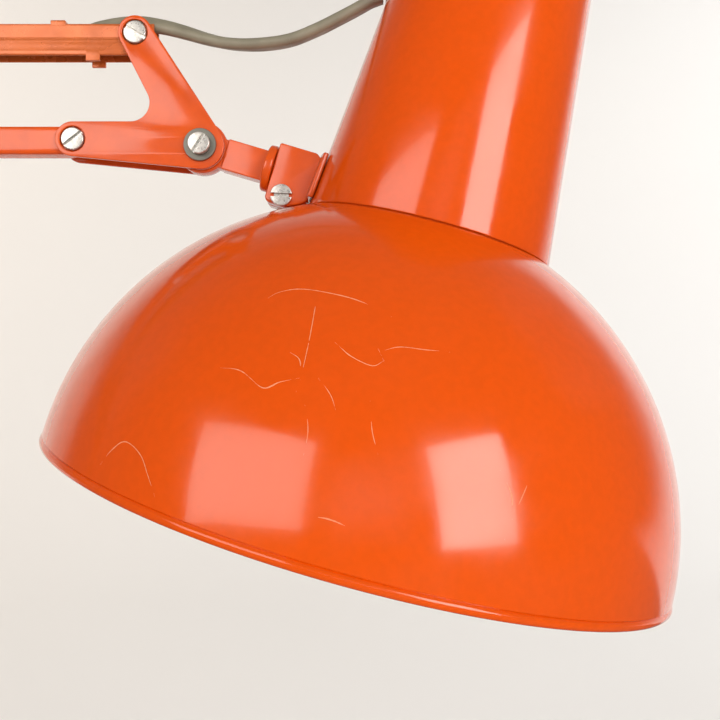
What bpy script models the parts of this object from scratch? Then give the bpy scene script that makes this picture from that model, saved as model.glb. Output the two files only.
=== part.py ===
"""Architect desk lamp: a round weighted base, two parallelogram arms, and a domed shade that tilts and swivels.

Metres, +Z up. The origin is the centre of the base's underside, +X is the reach, and y = 0 is the middle plane.
Each moving body has an empty on its joint's axis, and its pieces are parented to that empty.
"""

import math

import bmesh
import bpy
from mathutils import Matrix, Vector

GAP = 0.0003  # left between pieces that touch
ARC_STEP = 18.0  # degrees between points on a plate's rounded corners
SCREW_SIDES = 12
SHADE_SIDES = 48
BASE_SIDES = 36

# The base
BASE_RADIUS = 0.105
BASE_TOP = 0.030
COVER_WALL = 0.0015
COVER_FOOT = 0.0022
COVER_SHOULDER = 0.014
FELT_THICK = 0.002
WEIGHT_RADIUS = 0.0995
WEIGHT_TOP = 0.0185
SPINDLE_RADIUS = 0.006
BUSHING_RADIUS = 0.012
FLANGE_RADIUS = 0.024
FLANGE_TOP = 0.0365

# The arms: pivots and what the plates and bars share
ARM_LENGTH = 0.400
LOWER_ELEVATION = 110.0
BAR_HALF = 0.0036  # half the width of a bar
PLATE_IN = 0.0039  # a plate's inner face, from the middle plane
PLATE_OUT = 0.0051
CHANNEL_TOP = 0.0032
CHANNEL_BOTTOM = -0.0065
CHANNEL_WALL = 0.0009
CHANNEL_WINDOW = 0.0205  # length of the opening in the channel's top, at each end
TUBE_HALF_HEIGHT = 0.00425
TUBE_WALL = 0.0009
TUBE_CORNER = 0.0011  # the tube bar's bevelled edge
BAR_OVERHANG = 0.0055
YOKE_PIVOT = Vector((0.0, 0.0, 0.075))
YOKE_LINK = Vector((-0.030, 0.0, 0.010))
ELBOW_UPPER_LINK = Vector((0.026, 0.0, 0.004))
HEAD_LINK = Vector((-0.0190, 0.0, -0.0325))
HEAD_TILT = Vector((0.0200, 0.0, -0.0345))

# Fasteners
HEAD_RADIUS = 0.0034
HEAD_OUT = 0.0054
PIVOT_HOLE = 0.0039
SHANK_RADIUS = 0.0019
SHANK_HOLE = 0.0023
SLOT_WIDTH = 0.0009
SLOT_DEPTH = 0.0008

# The springs
SPRING_REACH = 0.130  # from an arm's main pivot to its spring pin
SPRING_SIDE = 0.014
SPRING_RADIUS = 0.0055
SPRING_HOOK = 0.0009
SPRING_END = 0.012
PIN_RADIUS = 0.0018
PIN_END = 0.0195
YOKE_ANCHOR = Vector((-0.026, 0.0, -0.006))
ELBOW_ANCHOR = Vector((-0.008, 0.0, 0.022))

# The head
STUB_SLOPE = -16.5
STUB_HALF_HEIGHT = 0.00475
STUB_HALF_WIDTH = 0.0032
TONGUE_HALF_WIDTH = 0.0026
COLLAR = (0.0203, 0.0230)
COLLAR_RADIUS = 0.00725
SWIVEL_RADIUS = 0.0040
SWIVEL_HOLE = 0.0043
KNUCKLE_HALF_WIDTH = 0.0058

# The shade, measured along its own axis from the rim's plane
SHADE_TILT = 15.0
RIM_CENTRE = Vector((0.0671, 0.0, -0.1459))  # from the head's upper pivot
RIM_RADIUS = 0.095
DOME_HEIGHT = 0.0937
SHADE_WALL = 0.0010
BEAD_HEIGHT = 0.0026
JUNCTION_HEIGHT = 0.0859
JUNCTION_RADIUS = 0.03805
NECK_SLOPE = 0.1015
NECK_LENGTH = 0.105
CORD_ENTRY = 0.070  # above the junction

# The cord
CORD_RADIUS = 0.0021
LEAD_STEP = 0.0004  # between points along the lead
LEAD_SPLIT = 3  # steps left out between two lengths of the lead
LONG_STRETCH = 600  # steps in a length that runs inside a bar
COIL_CENTRE = Vector((-0.215, 0.070, 0.0))
COIL_INNER = 0.0217
COIL_OUTER = 0.0445
COIL_HEIGHT = 0.0074

FINISHES = {
    "orange enamel": ((0.67, 0.07, 0.0), 0.25, 0.0),
    "orange satin": ((0.72, 0.13, 0.04), 0.40, 0.0),
    "zinc": ((0.62, 0.62, 0.60), 0.35, 1.0),
    "spring steel": ((0.45, 0.45, 0.46), 0.35, 1.0),
    "cast iron": ((0.08, 0.08, 0.08), 0.70, 1.0),
    "felt": ((0.03, 0.04, 0.03), 0.95, 0.0),
    "grey vinyl": ((0.24, 0.21, 0.15), 0.50, 0.0),
    "black plastic": ((0.02, 0.02, 0.02), 0.45, 0.0),
    "nylon": ((0.75, 0.45, 0.38), 0.50, 0.0),
    "bakelite": ((0.03, 0.02, 0.02), 0.30, 0.0),
    "opal glass": ((0.90, 0.89, 0.85), 0.20, 0.0),
}


# Shapes


def polar(centre, radius, degrees):
    """A point on a circle, as (x, z)."""
    turn = math.radians(degrees)
    return centre[0] + radius * math.cos(turn), centre[1] + radius * math.sin(turn)


def arc(centre, radius, start, end):
    """Points along an arc from start to end, in degrees, both ends included."""
    steps = max(2, math.ceil(abs(end - start) / ARC_STEP))
    return [polar(centre, radius, start + (end - start) * k / steps) for k in range(steps + 1)]


def tangent_angle(first, second):
    """The angle, seen from either centre, of the outer tangent from one circle (x, z, radius) to the next."""
    dx, dz = second[0] - first[0], second[1] - first[1]
    lean = math.acos((first[2] - second[2]) / math.hypot(dx, dz))
    return math.degrees(math.atan2(dz, dx) - lean)


def lobed_outline(circles):
    """The outline of a belt around circles given anticlockwise as (x, z, radius)."""
    outline = []
    for k, circle in enumerate(circles):
        start = tangent_angle(circles[k - 1], circle)
        end = tangent_angle(circle, circles[(k + 1) % len(circles)])
        outline += arc(circle, circle[2], start, start + (end - start) % 360)
    return outline


def mesh_from(bm, frame):
    bmesh.ops.recalc_face_normals(bm, faces=bm.faces)
    bm.transform(frame)
    mesh = bpy.data.meshes.new("shape")
    bm.to_mesh(mesh)
    bm.free()
    return mesh


def prism(outline, low, high, frame=Matrix.Identity(4)):
    """An outline of (x, z) points, extruded from y = low to y = high."""
    bm = bmesh.new()
    near = [bm.verts.new((x, low, z)) for x, z in outline]
    far = [bm.verts.new((x, high, z)) for x, z in outline]
    bm.faces.new(near)
    bm.faces.new(far)
    for k in range(len(outline)):
        bm.faces.new((near[k - 1], near[k], far[k], far[k - 1]))
    return mesh_from(bm, frame)


def block(low, high, frame=Matrix.Identity(4)):
    """A box between two corners."""
    outline = [(low[0], low[2]), (high[0], low[2]), (high[0], high[2]), (low[0], high[2])]
    return prism(outline, low[1], high[1], frame)


def ring_of(bm, radius, height, sides):
    if radius < 1e-7:
        return [bm.verts.new((0.0, 0.0, height))]
    angles = [2 * math.pi * k / sides for k in range(sides)]
    return [bm.verts.new((radius * math.cos(a), radius * math.sin(a), height)) for a in angles]


def turned(profile, frame=Matrix.Identity(4), sides=SCREW_SIDES):
    """A closed outline of (radius, height) points, turned about the frame's Z axis."""
    bm = bmesh.new()
    rings = [ring_of(bm, radius, height, sides) for radius, height in profile]
    for k, ring in enumerate(rings):
        before = rings[k - 1]
        if len(before) == 1 and len(ring) == 1:
            continue
        for side in range(sides):
            corners = [before[side % len(before)], before[(side - 1) % len(before)]]
            corners += [ring[(side - 1) % len(ring)], ring[side % len(ring)]]
            bm.faces.new(list(dict.fromkeys(corners)))
    return mesh_from(bm, frame)


def rod(radius, start, end, sides=SCREW_SIDES):
    """A plain cylinder between two points."""
    length = (end - start).length
    profile = [(0.0, 0.0), (radius, 0.0), (radius, length), (0.0, length)]
    return turned(profile, pointing(start, end - start), sides)


def pointing(place, direction):
    """A frame at a place, with its Z axis along a direction."""
    return Matrix.Translation(place) @ direction.to_track_quat("Z", "Y").to_matrix().to_4x4()


def leaning(place, along, side):
    """A frame at a place, with its X axis along one direction and its Y axis along another."""
    columns = (along, side, along.cross(side))
    return Matrix.Translation(place) @ Matrix(columns).transposed().to_4x4()


def object_from(mesh, name="tool"):
    obj = bpy.data.objects.new(name, mesh)
    bpy.context.scene.collection.objects.link(obj)
    return obj


def combined(mesh, others, operation):
    """The mesh after a Boolean with each of the others in turn."""
    body = object_from(mesh)
    for other in others:
        tool = object_from(other)
        step = body.modifiers.new(operation, "BOOLEAN")
        step.operation = operation
        step.solver = "EXACT"
        step.object = tool
        graph = bpy.context.evaluated_depsgraph_get()
        result = bpy.data.meshes.new_from_object(body.evaluated_get(graph))
        body.modifiers.clear()
        body.data = result
        bpy.data.objects.remove(tool)
    result = body.data
    bpy.data.objects.remove(body)
    return result


def joined(mesh, *others):
    return combined(mesh, others, "UNION")


def cut(mesh, *others):
    return combined(mesh, others, "DIFFERENCE")


def bored(mesh, frame, holes):
    """The mesh with holes of (x, z, radius) through it along the frame's Y axis."""
    reach = Vector((0.0, 0.03, 0.0))
    tools = []
    for x, z, radius in holes:
        centre = Vector((x, 0.0, z))
        tools.append(rod(radius, frame @ (centre - reach), frame @ (centre + reach)))
    return cut(mesh, *tools)


# Pieces and the empties that carry them


def pivot(name, place, parent=None):
    """An empty on a joint's axis."""
    empty = bpy.data.objects.new(name, None)
    bpy.context.scene.collection.objects.link(empty)
    empty.empty_display_size = 0.02
    empty.parent = parent
    empty.location = place - (world_place(parent) if parent else Vector())
    return empty


def world_place(empty):
    place = Vector()
    while empty:
        place += empty.location
        empty = empty.parent
    return place


def painted(obj, finish):
    colour, roughness, metallic = FINISHES[finish]
    material = bpy.data.materials.new(obj.name)
    material.use_nodes = True
    shader = material.node_tree.nodes["Principled BSDF"]
    shader.inputs["Base Color"].default_value = (*colour, 1.0)
    shader.inputs["Roughness"].default_value = roughness
    shader.inputs["Metallic"].default_value = metallic
    obj.data.materials.clear()
    obj.data.materials.append(material)


def piece(name, mesh, finish, carrier):
    """One named piece, its mesh given in world coordinates, carried by an empty."""
    mesh.name = name
    mesh.transform(Matrix.Translation(-world_place(carrier)))
    mesh.shade_smooth()
    mesh.set_sharp_from_angle(angle=math.radians(35))
    obj = object_from(mesh, name)
    obj.parent = carrier
    painted(obj, finish)
    return obj


def smooth_route(points, spacing):
    """A smooth curve through the points, as evenly spaced points."""
    ends = [points[0] * 2 - points[1], *points, points[-1] * 2 - points[-2]]
    fine = []
    for a, b, c, d in zip(ends, ends[1:], ends[2:], ends[3:]):
        for k in range(24):
            t = k / 24
            spread = (c - a) * t + (a * 2 - b * 5 + c * 4 - d) * t**2 + (b * 3 - a - c * 3 + d) * t**3
            fine.append(b + spread / 2)
    fine.append(points[-1].copy())
    return evenly_spaced(fine, spacing)


def evenly_spaced(fine, spacing):
    length = sum((b - a).length for a, b in zip(fine, fine[1:]))
    count = max(1, round(length / spacing))
    route, walked, target = [fine[0]], 0.0, length / count
    for a, b in zip(fine, fine[1:]):
        step = (b - a).length
        while step > 0 and walked + step >= target * len(route) and len(route) < count:
            route.append(a.lerp(b, (target * len(route) - walked) / step))
        walked += step
    return [*route, fine[-1]]


def tube(name, route, radius, finish, carrier):
    """A solid cord along a route, as a curve with a round bevel and filled caps."""
    curve = bpy.data.curves.new(name, "CURVE")
    curve.dimensions = "3D"
    curve.bevel_depth = radius
    curve.bevel_resolution = 2
    curve.use_fill_caps = True
    line = curve.splines.new("POLY")
    line.points.add(len(route) - 1)
    for point, place in zip(line.points, route):
        point.co = (*(place - world_place(carrier)), 1.0)
    obj = bpy.data.objects.new(name, curve)
    bpy.context.scene.collection.objects.link(obj)
    obj.parent = carrier
    painted(obj, finish)
    return obj


def slotted(mesh, face, out, degrees):
    """The mesh with a screwdriver slot across the head whose outer face is at a place."""
    frame = pointing(face, out) @ Matrix.Rotation(math.radians(degrees), 4, "Z")
    reach = 0.02
    tool = block((-reach, -SLOT_WIDTH / 2, -SLOT_DEPTH), (reach, SLOT_WIDTH / 2, reach), frame)
    return cut(mesh, tool)


def pivot_screw(place, slot, shank=SHANK_RADIUS):
    """A double-headed pivot screw along Y, its heads flush in the holes of the two plates."""
    chamfer = 0.0003
    half = [(shank, PLATE_IN + GAP), (HEAD_RADIUS, PLATE_IN + GAP)]
    half += [(HEAD_RADIUS, HEAD_OUT - chamfer), (HEAD_RADIUS - chamfer, HEAD_OUT)]
    profile = [(0.0, -HEAD_OUT)] + [(r, -y) for r, y in reversed(half)] + half + [(0.0, HEAD_OUT)]
    mesh = turned(profile, pointing(place, Vector((0.0, 1.0, 0.0))))
    return slotted(mesh, place - Vector((0.0, HEAD_OUT, 0.0)), Vector((0.0, -1.0, 0.0)), slot)


def clamp_bolt(place, front, back, head, height, slot):
    """A cheese-head bolt along Y, from its head's seat at y = front to the far end at y = back."""
    chamfer = 0.0003
    profile = [(0.0, -height), (head - chamfer, -height), (head, chamfer - height), (head, 0.0)]
    profile += [(SHANK_RADIUS, 0.0), (SHANK_RADIUS, back - front), (0.0, back - front)]
    seat = Vector((place.x, front, place.z))
    mesh = turned(profile, pointing(seat, Vector((0.0, 1.0, 0.0))))
    return slotted(mesh, seat - Vector((0.0, height, 0.0)), Vector((0.0, -1.0, 0.0)), slot)


def washer(place, inner, outer, low, high):
    profile = [(inner, low), (outer, low), (outer, high), (inner, high)]
    centre = Vector((place.x, 0.0, place.z))
    return turned(profile, pointing(centre, Vector((0.0, 1.0, 0.0))), 18)


def hexagon_nut(place, low, high, across, hole=SHANK_HOLE):
    outline = [polar((place.x, place.z), across / math.sqrt(3), 60 * k) for k in range(6)]
    return bored(prism(outline, low, high), Matrix.Translation(place), [(0.0, 0.0, hole)])


# The base


def cover_profile():
    """The pressed cover: a low wall, a round shoulder and a gently coned top."""
    shoulder = 0.009
    corner = (BASE_RADIUS - shoulder, COVER_SHOULDER)
    outer = [(BASE_RADIUS, COVER_FOOT)] + arc(corner, shoulder, 0, 78)
    outer += [(0.060, 0.0268), (0.034, BASE_TOP - 0.0006), (BUSHING_RADIUS + GAP, BASE_TOP)]
    inner = [(BUSHING_RADIUS + GAP, BASE_TOP - COVER_WALL), (0.034, BASE_TOP - 0.0006 - COVER_WALL)]
    inner += [(0.060, 0.0268 - COVER_WALL)] + arc(corner, shoulder - COVER_WALL, 78, 0)
    return outer + inner + [(BASE_RADIUS - COVER_WALL, COVER_FOOT)]


def build_base(root):
    felt = [(0.0, 0.0), (BASE_RADIUS - 0.002, 0.0), (BASE_RADIUS - 0.002, FELT_THICK), (0.0, FELT_THICK)]
    piece("base_felt", turned(felt, sides=BASE_SIDES), "felt", root)

    low, hole = FELT_THICK + GAP, BUSHING_RADIUS + GAP
    weight = [(hole, low), (WEIGHT_RADIUS, low), (WEIGHT_RADIUS, WEIGHT_TOP - 0.006)]
    weight += [(WEIGHT_RADIUS - 0.006, WEIGHT_TOP), (hole, WEIGHT_TOP)]
    piece("base_weight", turned(weight, sides=BASE_SIDES), "cast iron", root)

    outlet = Vector((-BASE_RADIUS, 0.0, 0.0085))
    cover = turned(cover_profile(), sides=BASE_SIDES)
    reach = Vector((0.01, 0.0, 0.0))
    cover = cut(cover, rod(0.0036 + GAP, outlet - reach, outlet + reach))
    piece("base_cover", cover, "orange enamel", root)

    collar, top = BUSHING_RADIUS + 0.003, BASE_TOP + 0.0028
    inside = SPINDLE_RADIUS + GAP
    bushing = [(inside, low), (BUSHING_RADIUS, low), (BUSHING_RADIUS, BASE_TOP + GAP)]
    bushing += [(collar, BASE_TOP + GAP), (collar, top), (inside, top)]
    piece("base_bushing", turned(bushing, sides=24), "black plastic", root)

    relief = [(0.0, -0.0028), (0.0036, -0.0028), (0.0036, GAP), (0.0058, GAP), (0.0056, 0.003)]
    relief += [(0.0034, 0.022), (0.0, 0.022)]
    frame = pointing(outlet, Vector((-1.0, 0.0, 0.0)))
    piece("base_grommet", turned(relief, frame), "black plastic", root)


def build_tail(root):
    """The free length of the cord on the table: out of the base, round its coil and on to the plug."""
    table = CORD_RADIUS + 0.0001
    out = [(-0.1273, 0.0, 0.0085), (-0.138, 0.0, 0.0078), (-0.149, 0.001, 0.0052)]
    out += [(-0.159, 0.005, 0.003), (-0.169, 0.012, table), (-0.179, 0.0205, table)]
    out += [(-0.1925, 0.0282, table)]
    tube("cord_tail", smooth_route([Vector(p) for p in out], 0.009), CORD_RADIUS, "grey vinyl", root)

    coil = [(COIL_INNER, 0.0), (COIL_OUTER, 0.0), (COIL_OUTER, COIL_HEIGHT), (COIL_INNER, COIL_HEIGHT)]
    piece("cord_coil", turned(coil, Matrix.Translation(COIL_CENTRE), 32), "grey vinyl", root)

    end = [(-0.2580, 0.0905, 0.0032), (-0.2572, 0.105, table), (-0.252, 0.122, table)]
    end += [(-0.240, 0.136, table), (-0.226, 0.1425, 0.0030), (-0.2115, 0.1435, 0.0062)]
    tube("cord_end", smooth_route([Vector(p) for p in end], 0.009), CORD_RADIUS, "grey vinyl", root)
    piece("plug", plug_mesh(Vector((-0.2105, 0.1435, 0.0))), "black plastic", root)


def plug_mesh(rear):
    """A flat two-pin plug that lies on the table, its cord entering at the rear."""
    half = [(0.0, 0.0032), (0.012, 0.0048), (0.019, 0.0125), (0.034, 0.0132), (0.036, 0.0118)]
    outline = half + [(x, -y) for x, y in reversed(half)]
    flat = Matrix.Translation(rear) @ Matrix.Rotation(math.radians(90), 4, "X")
    body = prism(outline, 0.0, 0.0136, flat)
    pins = []
    for side in (-0.0093, 0.0093):
        start = rear + Vector((0.034, side, 0.0068))
        pins.append(rod(0.002, start, start + Vector((0.021, 0.0, 0.0)), 12))
    return joined(body, *pins)


# The turret on the base


def build_turret(turret):
    stem = [(0.0, 0.010), (SPINDLE_RADIUS, 0.010), (SPINDLE_RADIUS, BASE_TOP + 0.0031)]
    stem += [(FLANGE_RADIUS, BASE_TOP + 0.0031), (FLANGE_RADIUS, FLANGE_TOP), (0.0, FLANGE_TOP)]
    post = block((-0.013, -BAR_HALF, FLANGE_TOP - 0.001), (0.013, BAR_HALF, 0.0645))
    spindle = joined(turned(stem, sides=32), post)
    foot = Vector((0.0, 0.0, 0.050))
    spindle = bored(spindle, Matrix.Translation(foot), [(0.0, 0.0, SHANK_HOLE)])
    piece("turret_spindle", spindle, "orange satin", turret)

    link, anchor = YOKE_PIVOT + YOKE_LINK, YOKE_PIVOT + YOKE_ANCHOR
    circles = [(-0.009, 0.041, 0.004), (0.009, 0.041, 0.004), (YOKE_PIVOT.x, YOKE_PIVOT.z, 0.0075)]
    circles += [(link.x, link.z, 0.0062), (anchor.x, anchor.z, 0.005)]
    holes = [(YOKE_PIVOT.x, YOKE_PIVOT.z, PIVOT_HOLE), (link.x, link.z, PIVOT_HOLE)]
    holes += [(anchor.x, anchor.z, SHANK_HOLE), (foot.x, foot.z, SHANK_HOLE)]
    plate_pair("yoke_plate", lobed_outline(circles), holes, turret)

    piece("yoke_screw_main", pivot_screw(YOKE_PIVOT, 25), "zinc", turret)
    piece("yoke_screw_link", pivot_screw(link, 70), "zinc", turret)
    screw = clamp_bolt(foot, -PLATE_OUT - GAP, 0.0075, HEAD_RADIUS, 0.0018, 10)
    piece("yoke_screw_foot", screw, "zinc", turret)
    piece("lower_spring_anchor", spring_pin(anchor), "zinc", turret)

    inlet = Vector((-0.0175, 0.0, FLANGE_TOP + GAP))
    grommet = [(0.0, 0.0), (0.0042, 0.0), (0.0036, 0.004), (0.0, 0.004)]
    piece("turret_grommet", turned(grommet, Matrix.Translation(inlet)), "black plastic", turret)


def plate_pair(name, outline, holes, carrier):
    """A front and a rear plate, either side of the bars."""
    for side, low, high in (("front", -PLATE_OUT, -PLATE_IN), ("rear", PLATE_IN, PLATE_OUT)):
        plate = bored(prism(outline, low, high), Matrix.Identity(4), holes)
        piece(f"{name}_{side}", plate, "orange satin", carrier)


def spring_pin(place):
    """A cross pin that holds the hooks of a pair of springs, one at each end."""
    reach = Vector((0.0, PIN_END, 0.0))
    return rod(PIN_RADIUS, place - reach, place + reach, 12)


# The arms


def bar_frame(start, degrees, side):
    """A bar's frame: X along the bar and -Z towards the link that runs beside it."""
    along = Vector((math.cos(math.radians(degrees)), 0.0, math.sin(math.radians(degrees))))
    return leaning(start, along, Vector((0.0, side, 0.0)))


def channel_mesh(frame):
    """The main bar: a channel open towards the link, with a window for the cord in its top at each end."""
    inner, roof = BAR_HALF - CHANNEL_WALL, CHANNEL_TOP - CHANNEL_WALL
    start, end = -BAR_OVERHANG, ARM_LENGTH + BAR_OVERHANG
    bar = block((start, -BAR_HALF, CHANNEL_BOTTOM), (end, BAR_HALF, CHANNEL_TOP), frame)
    trough = block((start - 0.01, -inner, CHANNEL_BOTTOM - 0.01), (end + 0.01, inner, roof), frame)
    tools = [trough]
    for low, high in ((start - 0.01, CHANNEL_WINDOW), (ARM_LENGTH - CHANNEL_WINDOW, end + 0.01)):
        tools.append(block((low, -inner, 0.0), (high, inner, 0.02), frame))
    bar = cut(bar, *tools)
    bar = joined(bar, *channel_tabs(frame))
    holes = [(x, 0.0, SHANK_HOLE) for x in (0.0, SPRING_REACH, ARM_LENGTH)]
    return bored(bar, frame, holes)


def channel_tabs(frame):
    """Small folded tabs near the far end: one on the top and one on the lower edge of each wall."""
    top = block((ARM_LENGTH - 0.0262, -BAR_HALF, 0.0025), (ARM_LENGTH - 0.0216, BAR_HALF, 0.0042), frame)
    tabs = [top]
    low, high = ARM_LENGTH - 0.0154, ARM_LENGTH - 0.0111
    for inside, outside in ((-BAR_HALF, -BAR_HALF + CHANNEL_WALL), (BAR_HALF - CHANNEL_WALL, BAR_HALF)):
        tabs.append(block((low, inside, -0.0082), (high, outside, -0.0050), frame))
    return tabs


def link_mesh(frame, offset):
    """The second bar: a square tube, parallel to the channel and as long between its pivots."""
    half, inner = TUBE_HALF_HEIGHT, TUBE_HALF_HEIGHT - TUBE_WALL
    low, high = offset[0] - BAR_OVERHANG, offset[0] + ARM_LENGTH + BAR_OVERHANG
    outline = [(TUBE_CORNER - BAR_HALF, -half), (BAR_HALF - TUBE_CORNER, -half)]
    outline += [(BAR_HALF, TUBE_CORNER - half), (BAR_HALF, half - TUBE_CORNER)]
    outline += [(-y, -z) for y, z in outline]
    turn = Matrix.Rotation(math.radians(90), 4, "Z")
    place = frame @ Matrix.Translation((0.0, 0.0, offset[1])) @ turn
    bar = prism(outline, -high, -low, place)
    bore = block((low - 0.01, -BAR_HALF + TUBE_WALL, -inner), (high + 0.01, BAR_HALF - TUBE_WALL, inner))
    bore.transform(frame @ Matrix.Translation((0.0, 0.0, offset[1])))
    bar = cut(bar, bore)
    return bored(bar, frame, [(offset[0] + x, offset[1], SHANK_HOLE) for x in (0.0, ARM_LENGTH)])


def spring_mesh(start, end, side):
    """A tension spring as a plain solid of its coil's outline, with a thin hook at each end."""
    shift = Vector((0.0, side, 0.0))
    first, last = start + shift, end + shift
    length, clear = (last - first).length, PIN_RADIUS + GAP
    profile = [(0.0, clear), (SPRING_HOOK, clear), (SPRING_HOOK, SPRING_END), (SPRING_RADIUS, SPRING_END + 0.002)]
    profile += [(r, length - h) for r, h in reversed(profile)]
    return turned(profile, pointing(first, last - first), 12)


def build_arm(name, frame, anchor, offset, channel, link):
    piece(f"{name}_channel_bar", channel_mesh(frame), "orange satin", channel)
    pin = frame @ Vector((SPRING_REACH, 0.0, 0.0))
    piece(f"{name}_spring_pin", spring_pin(pin), "zinc", channel)
    for where, side in (("front", -SPRING_SIDE), ("rear", SPRING_SIDE)):
        spring = spring_mesh(anchor, pin, side)
        piece(f"{name}_spring_{where}", spring, "spring steel", channel)
    piece(f"{name}_link_bar", link_mesh(frame, offset), "orange satin", link)


def build_elbow(elbow, lower, lower_link, upper, upper_link):
    anchor = upper + ELBOW_ANCHOR
    circles = [(lower_link.x, lower_link.z, 0.0062), (lower.x, lower.z, 0.0075)]
    circles += [(upper_link.x, upper_link.z, 0.0062), (upper.x, upper.z, 0.0075)]
    circles += [(anchor.x, anchor.z, 0.005)]
    screws = {"lower_main": (lower, 40), "lower_link": (lower_link, 115)}
    screws.update({"upper_main": (upper, 80), "upper_link": (upper_link, 150)})
    holes = [(place.x, place.z, PIVOT_HOLE) for place, _ in screws.values()]
    holes.append((anchor.x, anchor.z, SHANK_HOLE))
    plate_pair("elbow_plate", lobed_outline(circles), holes, elbow)
    for name, (place, slot) in screws.items():
        piece(f"elbow_screw_{name}", pivot_screw(place, slot), "zinc", elbow)
    piece("upper_spring_anchor", spring_pin(anchor), "zinc", elbow)


# The head


def head_outline(top):
    """The boomerang plate: lobes at the three pivots and a rounded notch on the arms' side."""
    upper = (top.x, top.z, 0.0051)
    lower = (top.x + HEAD_LINK.x, top.z + HEAD_LINK.z, 0.0053)
    tilt = (top.x + HEAD_TILT.x, top.z + HEAD_TILT.z, 0.00715)
    notch, slope = 0.0058, 207.0
    # The notch's centre lies a notch radius outside the upper lobe's inner edge and above the lower lobe's top edge.
    height = lower[1] + lower[2] + notch
    side = upper[2] + notch
    normal = (math.cos(math.radians(slope)), math.sin(math.radians(slope)))
    across = upper[0] + (side - (height - upper[1]) * normal[1]) / normal[0]
    outline = arc(upper, upper[2], tangent_angle(tilt, upper), slope)
    outline += arc((across, height), notch, slope - 180, -90)
    outline += arc(lower, lower[2], 90, tangent_angle(lower, tilt) % 360)
    start = tangent_angle(lower, tilt) % 360
    return outline + arc(tilt, tilt[2], start, start + (tangent_angle(tilt, upper) - start) % 360)


def build_head(bracket, top):
    lower, tilt = top + HEAD_LINK, top + HEAD_TILT
    holes = [(place.x, place.z, PIVOT_HOLE) for place in (top, lower)]
    holes.append((tilt.x, tilt.z, SHANK_HOLE))
    plate_pair("head_plate", head_outline(top), holes, bracket)
    piece("head_screw_upper", pivot_screw(top, 30), "zinc", bracket)
    piece("head_screw_lower", pivot_screw(lower, -38), "zinc", bracket)
    low, high = PLATE_OUT + GAP, PLATE_OUT + GAP + 0.0009
    piece("tilt_washer", washer(tilt, SHANK_HOLE, 0.00495, -high, -low), "zinc", bracket)
    bolt = clamp_bolt(tilt, -high - GAP, 0.0094, 0.00328, 0.0019, -57)
    piece("tilt_bolt", bolt, "zinc", bracket)
    piece("tilt_nut", hexagon_nut(tilt, low, low + 0.0034, 0.0080), "zinc", bracket)


def build_stub(stub, tilt):
    frame = bar_frame(tilt, STUB_SLOPE, 1.0)
    height, width, tongue = STUB_HALF_HEIGHT, STUB_HALF_WIDTH, TONGUE_HALF_WIDTH
    shoulder, end = 0.00745, COLLAR[0] + 0.001
    neck = arc((0.0, 0.0), 0.0079, 35, 325) + [(shoulder + 0.001, -0.0045), (shoulder + 0.001, 0.0045)]
    body = prism(neck, -tongue, tongue, frame)
    body = joined(body, block((shoulder, -width, -height), (end, width, height), frame))
    along = frame.to_3x3() @ Vector((1.0, 0.0, 0.0))
    bevel = 0.0007
    collar = [(0.0, COLLAR[0]), (COLLAR_RADIUS - bevel, COLLAR[0]), (COLLAR_RADIUS, COLLAR[0] + bevel)]
    collar += [(COLLAR_RADIUS, COLLAR[1] - bevel), (COLLAR_RADIUS - bevel, COLLAR[1])]
    collar += [(SWIVEL_RADIUS, COLLAR[1]), (SWIVEL_RADIUS, 0.0345), (0.0, 0.0345)]
    body = joined(body, turned(collar, pointing(tilt, along), 24))
    body = bored(body, frame, [(0.0, 0.0, SHANK_HOLE)])
    piece("tilt_stub", body, "orange satin", stub)
    low, high = TONGUE_HALF_WIDTH + GAP, BAR_HALF
    for side, (near, far) in (("front", (-high, -low)), ("rear", (low, high))):
        disc = washer(tilt, SHANK_HOLE, 0.0071, near, far)
        piece(f"friction_washer_{side}", disc, "nylon", stub)


def knuckle_mesh(frame, shade):
    """The clamp on the swivel: a block with a split lug below, on a flange that hugs the neck."""
    low, high = -0.0107, 0.0076
    outline = [(0.0233, low + 0.001), (0.0243, low), (0.0300, low), (0.0345, low + 0.0021), (0.0360, low + 0.0034)]
    outline += [(0.0369, 0.0060), (0.0350, high), (0.0240, high), (0.0233, high - 0.0007)]
    half = KNUCKLE_HALF_WIDTH
    body = prism(outline, -half, half, frame)
    body = joined(body, flange_mesh(shade))
    start, end = frame @ Vector((0.01, 0.0, 0.0)), frame @ Vector((0.0353, 0.0, 0.0))
    split = block((0.02, -0.0006, -0.02), (0.0325, 0.0006, -0.002), frame)
    body = cut(body, rod(SWIVEL_HOLE, start, end, 24), split)
    return bored(body, frame, [(0.0281, -0.0078, SHANK_HOLE)])


def flange_mesh(shade):
    """A curved plate, one wall thick, that follows the neck's cone on the side of the arms."""
    low, high, reach, thick = JUNCTION_HEIGHT + 0.0020, JUNCTION_HEIGHT + 0.0160, 17.0, 0.0016
    steps = 8
    bm = bmesh.new()
    grid = []
    for out in (GAP, GAP + thick):
        for height in (low, high):
            radius = neck_radius(height) + out
            row = []
            for k in range(steps + 1):
                turn = math.radians(180 - reach + 2 * reach * k / steps)
                row.append(bm.verts.new((radius * math.cos(turn), radius * math.sin(turn), height)))
            grid.append(row)
    for first, second in ((0, 1), (3, 2), (2, 0), (1, 3)):
        for k in range(steps):
            bm.faces.new((grid[first][k], grid[first][k + 1], grid[second][k + 1], grid[second][k]))
    for k in (0, steps):
        bm.faces.new((grid[0][k], grid[1][k], grid[3][k], grid[2][k]))
    return mesh_from(bm, shade)


def neck_radius(height):
    return JUNCTION_RADIUS - NECK_SLOPE * (height - JUNCTION_HEIGHT)


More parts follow.
